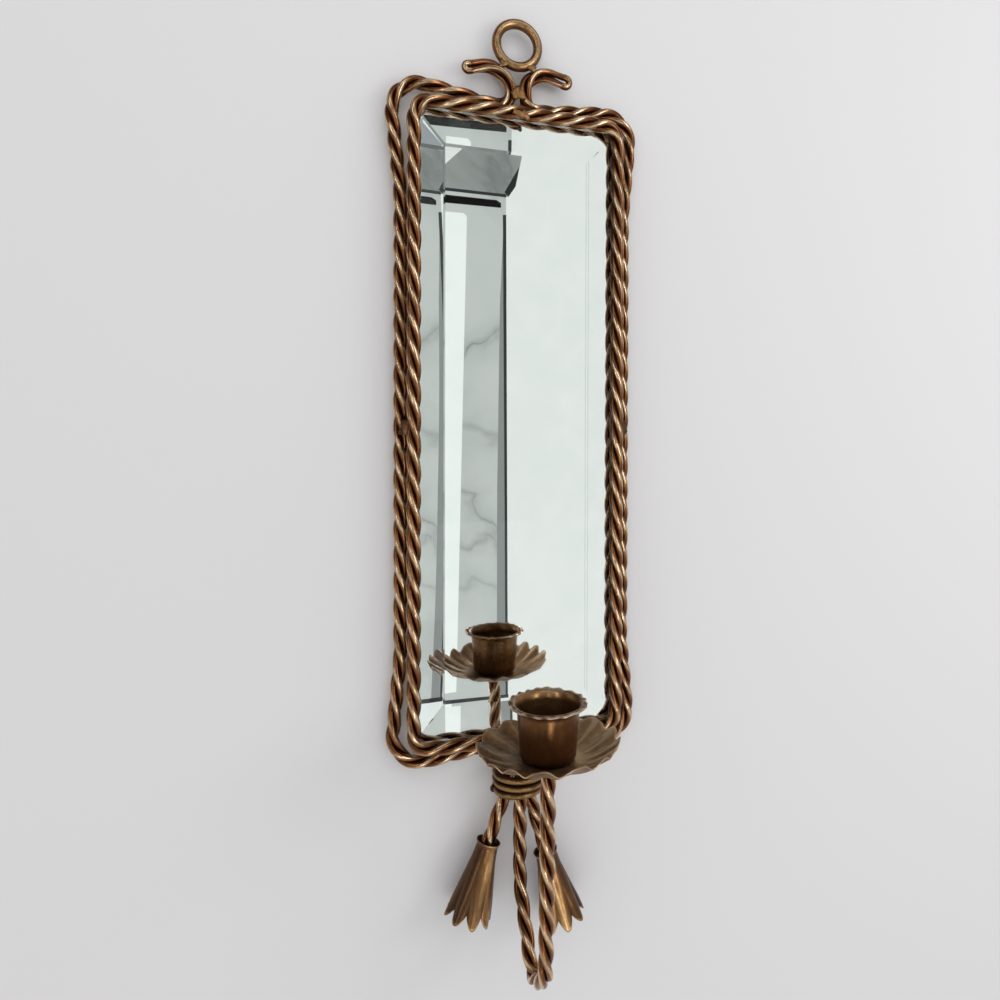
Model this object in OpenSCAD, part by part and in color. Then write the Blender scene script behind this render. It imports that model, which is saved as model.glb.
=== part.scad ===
// Wall sconce: a bevelled mirror in a double rope of twisted rods, with a ring to hang it by,
// a hooked rope arm that carries a drip dish and a candle cup, and two tassels under a wire binding.
// The origin is the centre of the hanging ring. X is to the right, the wall is on the +Y side, Z is up.

/* [Rods and ropes] */
// Diameter of each twisted rod
rod_d = 5.4; // [4.8:0.1:5.6]
// Length of rope in which a rod goes round once
rope_lead = 62; // [50:1:80]
// Gap left between two ropes that lie side by side
rope_gap = 0.2; // [0.2:0.1:0.6]

/* [Mirror] */
// Width of the glass
glass_w = 169; // [120:1:260]
// Height of the glass
glass_h = 510; // [300:1:700]
// Thickness of the glass inside its bevel
glass_t = 5; // [3:0.5:6]
// Width of the bevel at the sides
bevel_w = 23.5; // [10:0.5:30]
// Width of the bevel at top and bottom
bevel_end = 27.7; // [10:0.1:34]
// How much thinner the glass is at its edge
bevel_drop = 2.5; // [1:0.1:3]
// Thickness of the backing board
backing_t = 2.5; // [1.5:0.5:4]
// Thickness of the tray's sheet metal
tray_t = 0.8; // [0.6:0.1:1.2]
// Width of each tab that is bent over the backing board
tab_w = 14; // [8:1:20]
// Length of each tab behind the board
tab_len = 9; // [5:1:14]

/* [Frame] */
// How far the inner rope's centre line lies outside the glass at the sides
inner_side = 1.3; // [0:0.1:3]
// How far the inner rope's centre line lies outside the glass at top and bottom
inner_end = 2.7; // [1.5:0.1:4]
// Bend radius at the inner rope's corners
inner_bend = 14; // [10:1:30]
// Step outwards from the inner rope to the outer one at the sides
outer_side = 9.5; // [8.5:0.1:13]
// Step upwards from the inner rope to the outer one at the top
outer_top = 7.2; // [6.2:0.1:14]
// Step downwards from the inner rope to the outer one at the bottom
outer_bottom = 6.2; // [6.2:0.1:14]
// How far the outer rope lies behind the inner one
outer_back = 11.5; // [11.5:0.1:14]
// How far the outer rope's corners swing out sideways
ear_side = 8.5; // [2:0.5:12]
// How far the outer rope's corners swing up and down
ear_end = 11.5; // [2:0.5:14]
// How much further the top left corner swings out than the right one
ear_extra = 4; // [0:0.5:5]
// Height over which the outer rope swings out to a corner
ear_run = 80; // [50:5:120]
// Bend radius at the outer rope's corners
outer_bend = 24; // [16:1:34]
// Straight length of the stems between the frame and the curls
stem_len = 3.5; // [0:0.5:12]

/* [Finial] */
// Outer diameter of the hanging ring
ring_od = 43; // [36:1:60]
// Diameter of the ring's rod
ring_rod_d = 7.6; // [5:0.2:8]
// Bend radius of each curl
curl_bend = 17.5; // [14:0.5:20]
// Bend radius where a stem leaves the top of the frame
stem_bend = 12; // [10:0.5:14]
// How far a curl's tip is from the middle
curl_reach = 41.5; // [38:0.5:50]
// How steeply a curl falls towards its tip
curl_fall = 15; // [5:1:25]

/* [Binding] */
// Number of turns of the binding wire
binding_turns = 2.65; // [1.65:1:3.65]
// Diameter of the binding wire
wire_d = 5.8; // [4:0.1:5.9]
// Rise of the wire in one turn
wire_pitch = 6.5; // [6.4:0.1:8]
// Distance from the bottom of the frame down to the binding
binding_drop = 19; // [18:1:34]
// Gap between the ropes and the wire round them
wire_gap = 0.35; // [0.2:0.05:0.8]

/* [Arm] */
// How far the cup's axis is in front of the ring
arm_reach = 98.3; // [85:0.1:120]
// How far the arm's lowest bend lies below the binding
arm_drop = 123; // [100:1:150]
// Bend radius of the arm's back sweep
sweep_bend = 40; // [30:1:50]
// Bend radius of the arm's lowest bend
hook_bend = 16; // [12:1:20]
// Bend radius where the arm turns up to the dish
rise_bend = 20; // [14:1:30]

/* [Dish and cup] */
// Height of the dish's floor above the inner rope's bottom
dish_rise = 22; // [16:0.1:40]
// Radius of the dish to the middle of its ruffles
dish_r = 49.5; // [40:0.5:60]
// How far the dish's rim stands above its floor
dish_h = 10; // [6:0.5:16]
// Number of pleats round the dish
dish_pleats = 16; // [10:1:20]
// How far the pleats are turned about the dish's axis
dish_turn = 5; // [0:1:22]
// How much higher the rim stands at its front right
rim_lift = 4; // [0:0.5:6]
// Height of a pleat's wave at the rim, to each side
pleat_h = 2.4; // [1:0.1:4]
// Depth of a pleat's scallop at the rim, to each side
pleat_r = 0.9; // [0.5:0.1:3]
// Thickness of the dish's and the cup's sheet metal
sheet_t = 0.9; // [0.7:0.1:1.2]
// Radius of the candle socket
socket_r = 19.3; // [17:0.1:21]
// Depth of the socket's straight wall
socket_len = 14; // [8:1:20]
// Height of the cup
cup_h = 41; // [32:1:60]
// How much wider the cup's wall is below its mouth than at its foot
cup_flare = 1.8; // [0.5:0.1:3]
// Height over which the mouth turns outwards
mouth_h = 7; // [4:0.5:10]
// Radius of the cup's rim
lip_r = 27.8; // [26:0.2:32]
// Number of waves round the cup's rim
lip_waves = 20; // [12:1:24]
// Height of the rim's waves, to each side
lip_wave_h = 0.5; // [0.2:0.1:1.2]
// Diameter of the screw that holds the cup and the dish
screw_d = 3.8; // [3:0.1:5]
// Radius of the boss on top of the arm
boss_r = 7.5; // [6.5:0.5:10]
// Height of the boss
boss_h = 4; // [3:0.5:8]

/* [Tassels] */
// Length of a tassel from its collar to its points
tassel_len = 60.5; // [50:1:90]
// Radius of the collar's lip
collar_r = 10.2; // [10:0.1:12]
// Radius of the hem at its points
hem_r = 19.6; // [15:0.1:26]
// Number of flutes
tassel_flutes = 8; // [6:1:12]
// Depth of the flutes at the hem
flute_depth = 4.6; // [2:0.1:6]
// Depth of the notches between the points
notch = 8.5; // [3:0.5:12]
// Thickness of the tassels' sheet metal
tassel_t = 0.8; // [0.6:0.1:1.2]
// Angle at which the left tassel leans outwards
left_lean = 17.5; // [8:0.5:20]
// Angle at which the right tassel leans outwards
right_lean = 14; // [8:0.5:20]
// How far the left collar lies below the binding
left_tail = 38; // [30:1:50]
// How far the right collar lies below the binding
right_tail = 54; // [30:1:60]
// How far the left collar is from the middle
left_spread = 25; // [22:0.5:34]
// How far the right collar is from the middle
right_spread = 23.5; // [22:0.5:34]

/* [Hidden] */

rings_per_lead = 6;
bend_step = 24;
rod_sides = 6;
lay = -1;
rope_r = rod_d / sqrt(3);

// The points of a rod lie a little outside it, so that the flat faces between them keep its size
swell_r = 1.05;
rope_d = swell_r * swell_r * (2 * rope_r + rod_d);
front = [0, -1, 0];
side = [1, 0, 0];

// Heights, from the ring down
ring_r = (ring_od - ring_rod_d) / 2;
stem_x = (rope_d + rope_gap) / 2;
curl_x = stem_x + curl_bend;
ring_to_curl = ring_r + curl_bend + (ring_rod_d + rope_d) / 2 + rope_gap;
curl_z = -sqrt(pow(ring_to_curl, 2) - pow(curl_x, 2));
outer_top_z = curl_z - stem_bend - stem_len;
inner_top_z = outer_top_z - outer_top;
inner_bottom_z = inner_top_z - glass_h - 2 * inner_end;
outer_bottom_z = inner_bottom_z - outer_bottom;
middle_z = (inner_top_z + inner_bottom_z) / 2;
binding_top_z = outer_bottom_z - binding_drop;
binding_bottom_z = binding_top_z - wire_pitch * binding_turns - wire_d / 2;
dish_z = inner_bottom_z + dish_rise;

// Places across the frame
inner_x = glass_w / 2 + inner_side;
inner_y = -outer_back;
outer_x = inner_x + outer_side;

// The glass lies against the back of the inner rope
glass_front_y = inner_y + rope_d / 2 + 0.15;
glass_back_y = glass_front_y + glass_t - bevel_drop;

// The tails and the arm inside the binding
tail_y = -3.9;
tail_in = stem_x + 0.2;
tail_out = stem_x + 2.2;
arm_y = tail_y - sqrt(pow(rope_d + rope_gap, 2) - pow(stem_x, 2));

function unit(v) = v / norm(v);

// The points of one rounded corner of a route: from A, round P, to B
function corner(a, p, b, r) =
    let (
        back = unit(a - p),
        ahead = unit(b - p),
        half = acos(back * ahead) / 2,
        sweep = 180 - 2 * half,
        centre = p + unit(back + ahead) * r / sin(half),
        u = p + back * r / tan(half) - centre,
        v = p + ahead * r / tan(half) - centre,
        n = ceil(sweep / bend_step)
    )
    [for (k = [0:n]) centre + (u * sin(sweep * (n - k) / n) + v * sin(sweep * k / n)) / sin(sweep)];

function joined(lists) = [for (l = lists) for (p = l) p];

// A route through corner points with bend radii, from the first point to the last
function open_route(p, r) =
    joined([
        [p[0]],
        for (i = [1:len(p) - 2]) corner(p[i - 1], p[i], p[i + 1], r[i - 1]),
        [p[len(p) - 1]]
    ]);

// A closed route with one bend radius at every corner
function closed_route(p, r) =
    let (n = len(p))
    joined([for (i = [0:n - 1]) corner(p[(i + n - 1) % n], p[i], p[(i + 1) % n], r)]);

// The same route with its straight runs cut into steps
function stepped(p, step, closed = false) =
    let (last = closed ? len(p) - 1 : len(p) - 2)
    [
        for (i = [0:last])
            let (a = p[i], b = p[(i + 1) % len(p)], n = max(1, ceil(norm(b - a) / step - 0.01)))
                for (k = [0:n - 1]) a + (b - a) * k / n,
        if (!closed) p[len(p) - 1]
    ];

// Distance along a route at each of its points, and once more for the way back to the first
function distances(p) =
    [for (i = 0, s = 0; i <= len(p); s = s + norm(p[(i + 1) % len(p)] - p[i % len(p)]), i = i + 1) s];

function direction(p, i, closed) =
    let (
        n = len(p),
        before = closed ? (i + n - 1) % n : max(i - 1, 0),
        after = closed ? (i + 1) % n : min(i + 1, n - 1),
        u = p[i] - p[before],
        v = p[after] - p[i]
    )
    unit((norm(u) > 0 ? unit(u) : [0, 0, 0]) + (norm(v) > 0 ? unit(v) : [0, 0, 0]));

// One ring of points round a rod that lies on the outside of its rope
function rod_ring(p, t, ref, turn, off, r) =
    let (
        u = unit(ref - (ref * t) * t),
        v = cross(t, u),
        outward = u * cos(turn) + v * sin(turn),
        around = cross(t, outward),
        c = p + outward * off
    )
    [for (k = [0:rod_sides - 1]) c + r * (outward * cos(360 * k / rod_sides) + around * sin(360 * k / rod_sides))];

// The rings of one of a rope's three rods. A closed rope has a whole number of turns.
function rope_rod(p, ref, which, start = 0, closed = false) =
    let (
        s = distances(p),
        total = closed ? s[len(p)] : s[len(p) - 1],
        turns = closed ? round(total / rope_lead) : total / rope_lead
    )
    [
        for (i = [0:len(p) - 1])
            rod_ring(p[i], direction(p, i, closed), ref, start + 120 * which + lay * 360 * turns * s[i] / total,
                rope_r * swell_r, rod_d / 2 * swell_r * swell_r)
    ];

// A skin over rings of points, each ring anticlockwise as seen against the way the rings run
module skin(rings, closed = false) {
    m = len(rings);
    n = len(rings[0]);
    sides = [
        for (i = [0:closed ? m - 1 : m - 2])
            for (j = [0:n - 1])
                let (
                    a = i * n + j,
                    b = i * n + (j + 1) % n,
                    c = ((i + 1) % m) * n + (j + 1) % n,
                    d = ((i + 1) % m) * n + j
                )
                each [[a, d, b], [b, d, c]]
    ];
    ends = closed ? [] : [for (j = [1:n - 2]) each [[0, j, j + 1], [(m - 1) * n, (m - 1) * n + j + 1, (m - 1) * n + j]]];
    polyhedron(points = joined(rings), faces = concat(sides, ends));
}

rope_step = rope_lead / rings_per_lead;

// Centre line of the inner rope
inner_line = stepped(
    closed_route([
        [-inner_x, inner_y, inner_top_z],
        [inner_x, inner_y, inner_top_z],
        [inner_x, inner_y, inner_bottom_z],
        [-inner_x, inner_y, inner_bottom_z]
    ], inner_bend),
    rope_step, true);

// Centre line of the outer rope on one side, from its curl's tip to its tassel. S is 1 on the right.
curl_top_z = curl_z + curl_bend * tan((90 + curl_fall) / 2);
function tail_z(s) = binding_bottom_z - (s < 0 ? left_tail : right_tail);
function lean(s) = s < 0 ? left_lean : right_lean;
function tassel_axis(s) = [s * sin(lean(s)), -0.05, -cos(lean(s))];
function spread(s) = s < 0 ? left_spread : right_spread;
function collar(s) = [s * spread(s), tail_y - 5, tail_z(s)];
function extra(s) = s < 0 ? ear_extra : 0;
function outer_line(s) = stepped(
    open_route([
        [s * curl_reach, 0, curl_top_z - (curl_reach - stem_x) * tan(curl_fall)],
        [s * stem_x, 0, curl_top_z],
        [s * stem_x, 0, outer_top_z],
        [s * (outer_x + ear_side + 0.4 * extra(s)), 0, outer_top_z + ear_end + extra(s)],
        [s * outer_x, 0, outer_top_z - ear_run],
        [s * outer_x, 0, outer_bottom_z + ear_run],
        [s * (outer_x + ear_side), 0, outer_bottom_z - ear_end],
        [s * tail_in, 0, outer_bottom_z],
        [s * tail_in, tail_y, binding_top_z],
        [s * tail_out, tail_y, binding_bottom_z],
        collar(s),
        collar(s) + 13 * tassel_axis(s)
    ], [curl_bend, stem_bend, outer_bend, ear_run, ear_run, outer_bend, stem_bend, outer_bend, outer_bend, outer_bend]),
    rope_step);

// Centre line of the arm, from under the frame to the boss below the dish
arm_top_z = inner_bottom_z - rope_d / 2 - rope_gap;
boss_z = dish_z - sheet_t - boss_h;
hook_z = binding_bottom_z - arm_drop;
arm_line = stepped(
    open_route([
        [0, arm_y, arm_top_z],
        [0, arm_y, hook_z + 48],
        [0, -0.6 * arm_reach, hook_z],
        [0, -arm_reach + 4.5, hook_z + 29],
        [0, -arm_reach, dish_z - 44],
        [0, -arm_reach, boss_z - rope_gap]
    ], [sweep_bend, hook_bend, rise_bend, 4 * rise_bend]),
    rope_step);

module inner_rod(which) {
    color("peru") skin(rope_rod(inner_line, front, which, closed = true), closed = true);
}

module outer_rod(s, which) {
    color("peru") skin(rope_rod(outer_line(s), front, which));
}

module arm_rod(which) {
    color("peru") skin(rope_rod(arm_line, side, which, 30));
}

module hanging_ring() {
    color("darkgoldenrod")
    rotate([90, 0, 0])
        rotate_extrude($fn = 96)
            translate([ring_r, 0])
                circle(d = ring_rod_d, $fn = 48);
}

// A drop of weld metal, round at both ends, with its axis on X
module bead(r, length) {
    rotate([0, 90, 0])
        rotate_extrude($fn = 24)
            intersection() {
                union() {
                    translate([0, length / 2 - r]) circle(r = r, $fn = 24);
                    translate([0, r - length / 2]) circle(r = r, $fn = 24);
                    translate([-r, r - length / 2]) square([2 * r, length - 2 * r]);
                }
                translate([0, -length]) square([2 * r, 2 * length]);
            }
}

// A bead lies in front of the groove between two rods or ropes with radii R and Q, just clear of both.
// This is its distance from the first centre line, along and across the line between the two.
bead_r = 2.8;

// Beads on ropes sink this far, because the ropes have hollows between their rods
sink = 0.9;
function groove(r, q) =
    let (
        d = r + q + rope_gap,
        a = r + bead_r + rope_gap,
        b = q + bead_r + rope_gap,
        along = (d * d + a * a - b * b) / (2 * d)
    )
    [along, sqrt(a * a - along * along)];

module ring_welds() {
    meet = atan2(-curl_z, curl_x);
    at = groove(ring_rod_d / 2, rope_d / 2);
    color("goldenrod")
    for (s = [-1, 1])
        translate([s * (ring_r + at[0]) * cos(meet), -at[1], -(ring_r + at[0]) * sin(meet)])
            rotate([0, s * (meet - 90), 0])
                bead(bead_r, 8);
}

module finial_weld() {
    color("goldenrod")
    translate([0, sink - groove(rope_d / 2, rope_d / 2)[1], curl_z - 3.5])
        rotate([0, 90, 0])
            bead(bead_r, 9);
}

// Where the inner rope's ends meet
module top_weld() {
    out = rope_d / 2 + bead_r + rope_gap - 0.75 * sink;
    color("goldenrod")
    translate([0, inner_y - out * cos(35), inner_top_z - out * sin(35)])
        bead(bead_r, 12);
}

module side_weld(s) {
    apart = norm([outer_side, outer_back]);
    out = (sqrt(pow(rope_d / 2 + bead_r + rope_gap, 2) - pow(apart / 2, 2)) - sink) / apart;
    color("goldenrod")
    translate([
        s * (inner_x + outer_side / 2 + outer_back * out),
        inner_y + outer_back / 2 - outer_side * out,
        middle_z
    ])
        rotate([0, 90, 0])
            bead(bead_r, 11);
}

// The binding is an oval, flatter against the wall, round the two tails and the arm
wire_sides = 6;
wire_rings = 24;
wire_r = wire_d / 2;
wire_ax = tail_out + rope_d / 2 + wire_gap + wire_r;
wire_back_y = tail_y + rope_d / 2 + wire_gap + wire_r;
wire_front_y = arm_y - rope_d / 2 - wire_gap - wire_r;
wire_mid_y = (wire_back_y + wire_front_y) / 2;
wire_ay = (wire_back_y - wire_front_y) / 2;
function swell(c, power) = sign(c) * pow(abs(c), 2 / power);
function wire_point(a, z) =
    let (power = sin(a) > 0 ? 3.4 : 2)
    [wire_ax * swell(cos(a), power), wire_mid_y + wire_ay * swell(sin(a), power), z];
wire_line = [
    for (i = [0:round(wire_rings * binding_turns)])
        wire_point(150 + 360 * i / wire_rings, binding_top_z - wire_r - wire_pitch * i / wire_rings)
];
wire_skin = [
    for (i = [0:len(wire_line) - 1])
        [
            for (k = [0:wire_sides - 1])
                let (
                    t = direction(wire_line, i, false),
                    u = unit(cross([0, 0, 1], t)),
                    v = cross(t, u)
                )
                wire_line[i] + wire_r * (u * cos(360 * k / wire_sides) + v * sin(360 * k / wire_sides))
        ]
];
wire_gaps = [
    for (i = [0:len(wire_line) - 1])
        for (j = [i + wire_rings / 2:1:len(wire_line) - 1])
            norm(wire_line[i] - wire_line[j]) - wire_d
];
echo(least_gap_in_binding = min(wire_gaps));

module binding_wire() {
    color("darkgoldenrod") skin(wire_skin);
}

// The boss, the dish, the cup and the screw are stacked on the arm's end
screw_r = screw_d / 2;
hole_r = screw_r + 0.2;
seat_gap = 0.1;
dish_steps = 4;
dish_flat = socket_r + 3;

function dish_ring(r, z) = [
    for (k = [0:dish_pleats * dish_steps - 1])
        let (
            a = 360 * k / (dish_pleats * dish_steps),
            share = max(0, (r - dish_flat) / (dish_r - dish_flat)),
            wave = cos(dish_pleats * (a - dish_turn)),
            rr = r + pleat_r * share * wave
        )
        [rr * cos(a), rr * sin(a), z + (dish_h + rim_lift * (1 + cos(a + 45)) / 2) * pow(share, 1.6) + pleat_h * pow(share, 1.3) * wave]
];

module drip_dish() {
    radii = [hole_r, dish_flat, for (k = [1:4]) dish_flat + (dish_r - dish_flat) * k / 4];
    below = [for (r = radii) dish_ring(r, -sheet_t)];
    above = [for (k = [len(radii) - 1:-1:0]) dish_ring(radii[k], 0)];
    color("saddlebrown")
    translate([0, -arm_reach, dish_z])
        skin(concat(below, above), closed = true);
}

module arm_boss() {
    color("saddlebrown")
    translate([0, -arm_reach, boss_z])
        difference() {
            cylinder(r = boss_r, h = boss_h - seat_gap, $fn = 64);
            translate([0, 0, -1]) cylinder(r = screw_r + 0.05, h = boss_h + 2, $fn = 48);
        }
}

foot_r = socket_r + sheet_t;
foot_round = 5;
cup_floor = sheet_t + 1;
mouth_r = foot_r + cup_flare;
mouth_w = 3.4;
lip_root = mouth_r + mouth_w;
lip_steps = 4;

// Points of a quarter-round profile
function round_off(cx, cz, r, from, to, n) = [for (k = [0:n]) [cx + r * cos(from + (to - from) * k / n), cz + r * sin(from + (to - from) * k / n)]];

// Points of the mouth, which turns outwards like a bell, from its neck up to the lip
function bell(w, h) = [for (a = [0:18:90]) [lip_root - w * cos(a), cup_h - 0.7 - sheet_t - mouth_h + h * sin(a)]];

function upside_down(p) = [for (k = [len(p) - 1:-1:0]) p[k]];

module cup_body() {
    rotate_extrude($fn = 128)
        polygon(concat(
            [[hole_r, 0]],
            round_off(foot_r - foot_round, foot_round, foot_round, -90, 0, 5),
            bell(mouth_w, mouth_h),
            upside_down(bell(mouth_w + sheet_t, mouth_h + sheet_t)),
            [[socket_r, foot_round + 1 + socket_len]],
            round_off(socket_r - foot_round + sheet_t, foot_round + 1, foot_round - sheet_t, 0, -90, 5),
            [[hole_r, cup_floor]]
        ));
}

function lip_ring(r, z) = [
    for (k = [0:lip_waves * lip_steps - 1])
        let (
            a = 360 * k / (lip_waves * lip_steps),
            share = max(0, (r - lip_root) / (lip_r - lip_root)),
            wave = cos(lip_waves * a),
            rr = r + 0.5 * share * wave
        )
        [rr * cos(a), rr * sin(a), z + share * (lip_wave_h * wave - 0.5)]
];

module candle_cup() {
    lip_z = cup_h - 1.6;
    thin = sheet_t - 0.2;
    color("saddlebrown")
    translate([0, -arm_reach, dish_z + seat_gap]) {
        cup_body();
        translate([0, 0, lip_z + 0.1])
            skin([
                lip_ring(lip_root - 0.3, 0),
                lip_ring(lip_r, 0),
                lip_ring(lip_r, thin),
                lip_ring(lip_root - 0.3, thin)
            ], closed = true);
    }
}

module cup_screw() {
    floor_z = cup_floor + seat_gap;
    color("goldenrod")
    translate([0, -arm_reach, dish_z + seat_gap + floor_z])
        difference() {
            union() {
                rotate_extrude($fn = 48)
                    polygon([[0, 0], [screw_d, 0], [screw_d, 0.8], [screw_d * 0.7, 2], [0, 2.4]]);
                translate([0, 0, -floor_z - boss_h - sheet_t])
                    cylinder(r = screw_r, h = floor_z + boss_h + sheet_t + 0.4, $fn = 48);
            }
            translate([-screw_d - 1, -0.5, 1.3]) cube([2 * screw_d + 2, 1, 3]);
        }
}

// A tassel hangs down from the origin here, with its collar's lip on top
tassel_steps = 6;
plug_z = -7;
function tassel_ring(z, r, flute, drop) = [
    for (k = [0:tassel_flutes * tassel_steps - 1])
        let (
            a = 360 * k / (tassel_flutes * tassel_steps),
            crest = abs(cos(tassel_flutes * a / 2)),
            rr = r - flute * (1 - crest)
        )
        [rr * cos(a), rr * sin(a), z + drop * (1 - crest)]
];

module tassel_form() {
    neck = collar_r - 1.3;
    profile = [
        [0, collar_r, 0],
        [-3.5, neck, 0],
        [-0.22 * tassel_len, neck + 0.1 * (hem_r - neck), 0.3],
        [-0.5 * tassel_len, neck + 0.43 * (hem_r - neck), 0.55],
        [-0.8 * tassel_len, neck + 0.82 * (hem_r - neck), 0.85]
    ];
    outside = concat(
        [tassel_ring(-tassel_len, hem_r, flute_depth, notch)],
        [for (k = [len(profile) - 1:-1:0]) tassel_ring(profile[k][0], profile[k][1], flute_depth * profile[k][2], 0)]
    );
    inside = concat(
        [for (q = profile) tassel_ring(q[0], q[1] - tassel_t, flute_depth * q[2], 0)],
        [tassel_ring(-tassel_len, hem_r - tassel_t, flute_depth, notch)]
    );
    skin(concat(outside, inside), closed = true);
}

module at_collar(s) {
    translate(collar(s))
        rotate([-3, -s * lean(s), 0])
            children();
}

module tassel(s) {
    color("peru") at_collar(s) tassel_form();
}

// The plug closes the tassel's neck round the rope's end
module tassel_plug(s) {
    color("saddlebrown")
    at_collar(s)
        translate([0, 0, plug_z])
            difference() {
                cylinder(r = collar_r - 1.3 - tassel_t - 0.2, h = 2.5, $fn = 64);
                translate([0, 0, -1]) cylinder(r = rope_d / 2 + 0.2, h = 5, $fn = 64);
            }
}

module plate(w, h, front_y, back_y) {
    translate([-w / 2, front_y, middle_z - h / 2]) cube([w, back_y - front_y, h]);
}

function glass_ring(y, inset, end_inset) = [
    for (c = [[-1, -1], [1, -1], [1, 1], [-1, 1]])
        [c[0] * (glass_w / 2 - inset), y, middle_z + c[1] * (glass_h / 2 - end_inset)]
];

// The glass is thinner towards its edge, where the bevel runs out
module mirror_glass() {
    color("lightsteelblue")
    skin([
        glass_ring(glass_back_y, 0, 0),
        glass_ring(glass_front_y, 0, 0),
        glass_ring(glass_front_y - bevel_drop, bevel_w, bevel_end)
    ]);
}

board_gap = 0.1;
board_back_y = glass_back_y + board_gap + backing_t;

module backing_board() {
    color("tan") plate(glass_w, glass_h, glass_back_y + board_gap, board_back_y);
}

// A sheet-metal rim round the glass and the board, with tabs bent over behind the board
module mirror_tray() {
    fit = 0.3;
    w = glass_w + 2 * fit;
    h = glass_h + 2 * fit;
    tab_y = board_back_y + board_gap;
    color("gray") {
        difference() {
            plate(w + 2 * tray_t, h + 2 * tray_t, glass_front_y, tab_y + 0.9 * tray_t);
            plate(w, h, glass_front_y - 1, tab_y + tray_t + 1);
        }
        for (s = [-1, 1]) {
            for (z = [-0.36, -0.12, 0.12, 0.36] * glass_h)
                translate([s * (w / 2 + tray_t / 4 - tab_len / 2), tab_y + tray_t / 2, middle_z + z])
                    cube([tab_len + tray_t / 2, tray_t, tab_w], center = true);
            for (x = [-0.25, 0.25] * glass_w)
                translate([x, tab_y + tray_t / 2, middle_z + s * (h / 2 + tray_t / 4 - tab_len / 2)])
                    cube([tab_w, tray_t, tab_len + tray_t / 2], center = true);
        }
    }
}

for (k = [0:2]) {
    inner_rod(k);
    outer_rod(-1, k);
    outer_rod(1, k);
    arm_rod(k);
}
hanging_ring();
ring_welds();
finial_weld();
top_weld();
side_weld(-1);  // side_weld_left
side_weld(1);  // side_weld_right
binding_wire();
arm_boss();
drip_dish();
candle_cup();
cup_screw();
tassel(-1);  // tassel_left
tassel(1);  // tassel_right
tassel_plug(-1);  // tassel_plug_left
tassel_plug(1);  // tassel_plug_right
mirror_glass();
backing_board();
mirror_tray();
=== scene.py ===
import math

import bmesh
import bpy
from mathutils import Matrix, Vector, noise


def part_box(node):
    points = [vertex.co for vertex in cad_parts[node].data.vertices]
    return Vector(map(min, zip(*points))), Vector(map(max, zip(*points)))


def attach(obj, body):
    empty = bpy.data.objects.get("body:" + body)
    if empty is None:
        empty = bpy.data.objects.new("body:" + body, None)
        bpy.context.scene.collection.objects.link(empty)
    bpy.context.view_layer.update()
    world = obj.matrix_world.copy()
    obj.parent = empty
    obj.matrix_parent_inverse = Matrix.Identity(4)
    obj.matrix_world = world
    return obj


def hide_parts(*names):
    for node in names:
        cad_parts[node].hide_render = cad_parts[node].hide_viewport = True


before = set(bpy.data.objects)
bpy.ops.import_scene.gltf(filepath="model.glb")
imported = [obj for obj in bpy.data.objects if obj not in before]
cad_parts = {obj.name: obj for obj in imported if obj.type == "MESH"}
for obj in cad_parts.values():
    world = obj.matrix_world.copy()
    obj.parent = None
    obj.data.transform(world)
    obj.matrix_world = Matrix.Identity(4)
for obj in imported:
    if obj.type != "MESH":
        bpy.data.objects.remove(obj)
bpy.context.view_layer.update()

scene = bpy.context.scene

# Camera, where the photographer stood: focal length and centre in pixels of the 1000 x 1000 picture
viewpoint = {
    "focal": 682.36,
    "centre": (561.5, 445.73),
    "yaw": 0.3004,
    "pitch": 0.011775,
    "roll": 0.0028,
    "place": (-0.13381, -0.56025, -0.32782),
    "picture": 1000,
}


def placeCamera(v):
    size = v["picture"]
    ahead = Vector((math.sin(v["yaw"]), math.cos(v["yaw"]), 0))
    right = Vector((math.cos(v["yaw"]), -math.sin(v["yaw"]), 0))
    up = Vector((0, 0, 1)) * math.cos(v["pitch"]) + ahead * math.sin(v["pitch"])
    ahead = ahead * math.cos(v["pitch"]) - Vector((0, 0, 1)) * math.sin(v["pitch"])
    tilted = right * math.cos(v["roll"]) + up * math.sin(v["roll"])
    upright = up * math.cos(v["roll"]) - right * math.sin(v["roll"])
    turn = Matrix((tilted, upright, -ahead)).transposed().to_4x4()
    data = bpy.data.cameras.new("photoCamera")
    data.sensor_width = 36
    data.lens = 36 * v["focal"] / size
    data.shift_x = (size / 2 - v["centre"][0]) / size
    data.shift_y = (v["centre"][1] - size / 2) / size
    data.clip_start = 0.02
    camera = bpy.data.objects.new("photoCamera", data)
    camera.matrix_world = Matrix.Translation(v["place"]) @ turn
    scene.collection.objects.link(camera)
    scene.camera = camera


placeCamera(viewpoint)
print("camera placed")


# Shader helpers
def addNode(tree, kind, inputs=None, **settings):
    node = tree.nodes.new(kind)
    for key, value in settings.items():
        setattr(node, key, value)
    for key, value in (inputs or {}).items():
        if isinstance(value, bpy.types.NodeSocket):
            tree.links.new(value, node.inputs[key])
        else:
            node.inputs[key].default_value = value
    return node


def mathNode(tree, operation, *values, clamp=False):
    return addNode(tree, "ShaderNodeMath", dict(enumerate(values)), operation=operation, use_clamp=clamp).outputs[0]


def ramp(tree, factor, stops):
    node = addNode(tree, "ShaderNodeValToRGB", {"Fac": factor})
    band = node.color_ramp
    while len(band.elements) < len(stops):
        band.elements.new(0.5)
    for element, (place, colour) in zip(band.elements, stops):
        element.position = place
        element.color = (*colour, 1)
    return node.outputs["Color"]


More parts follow.
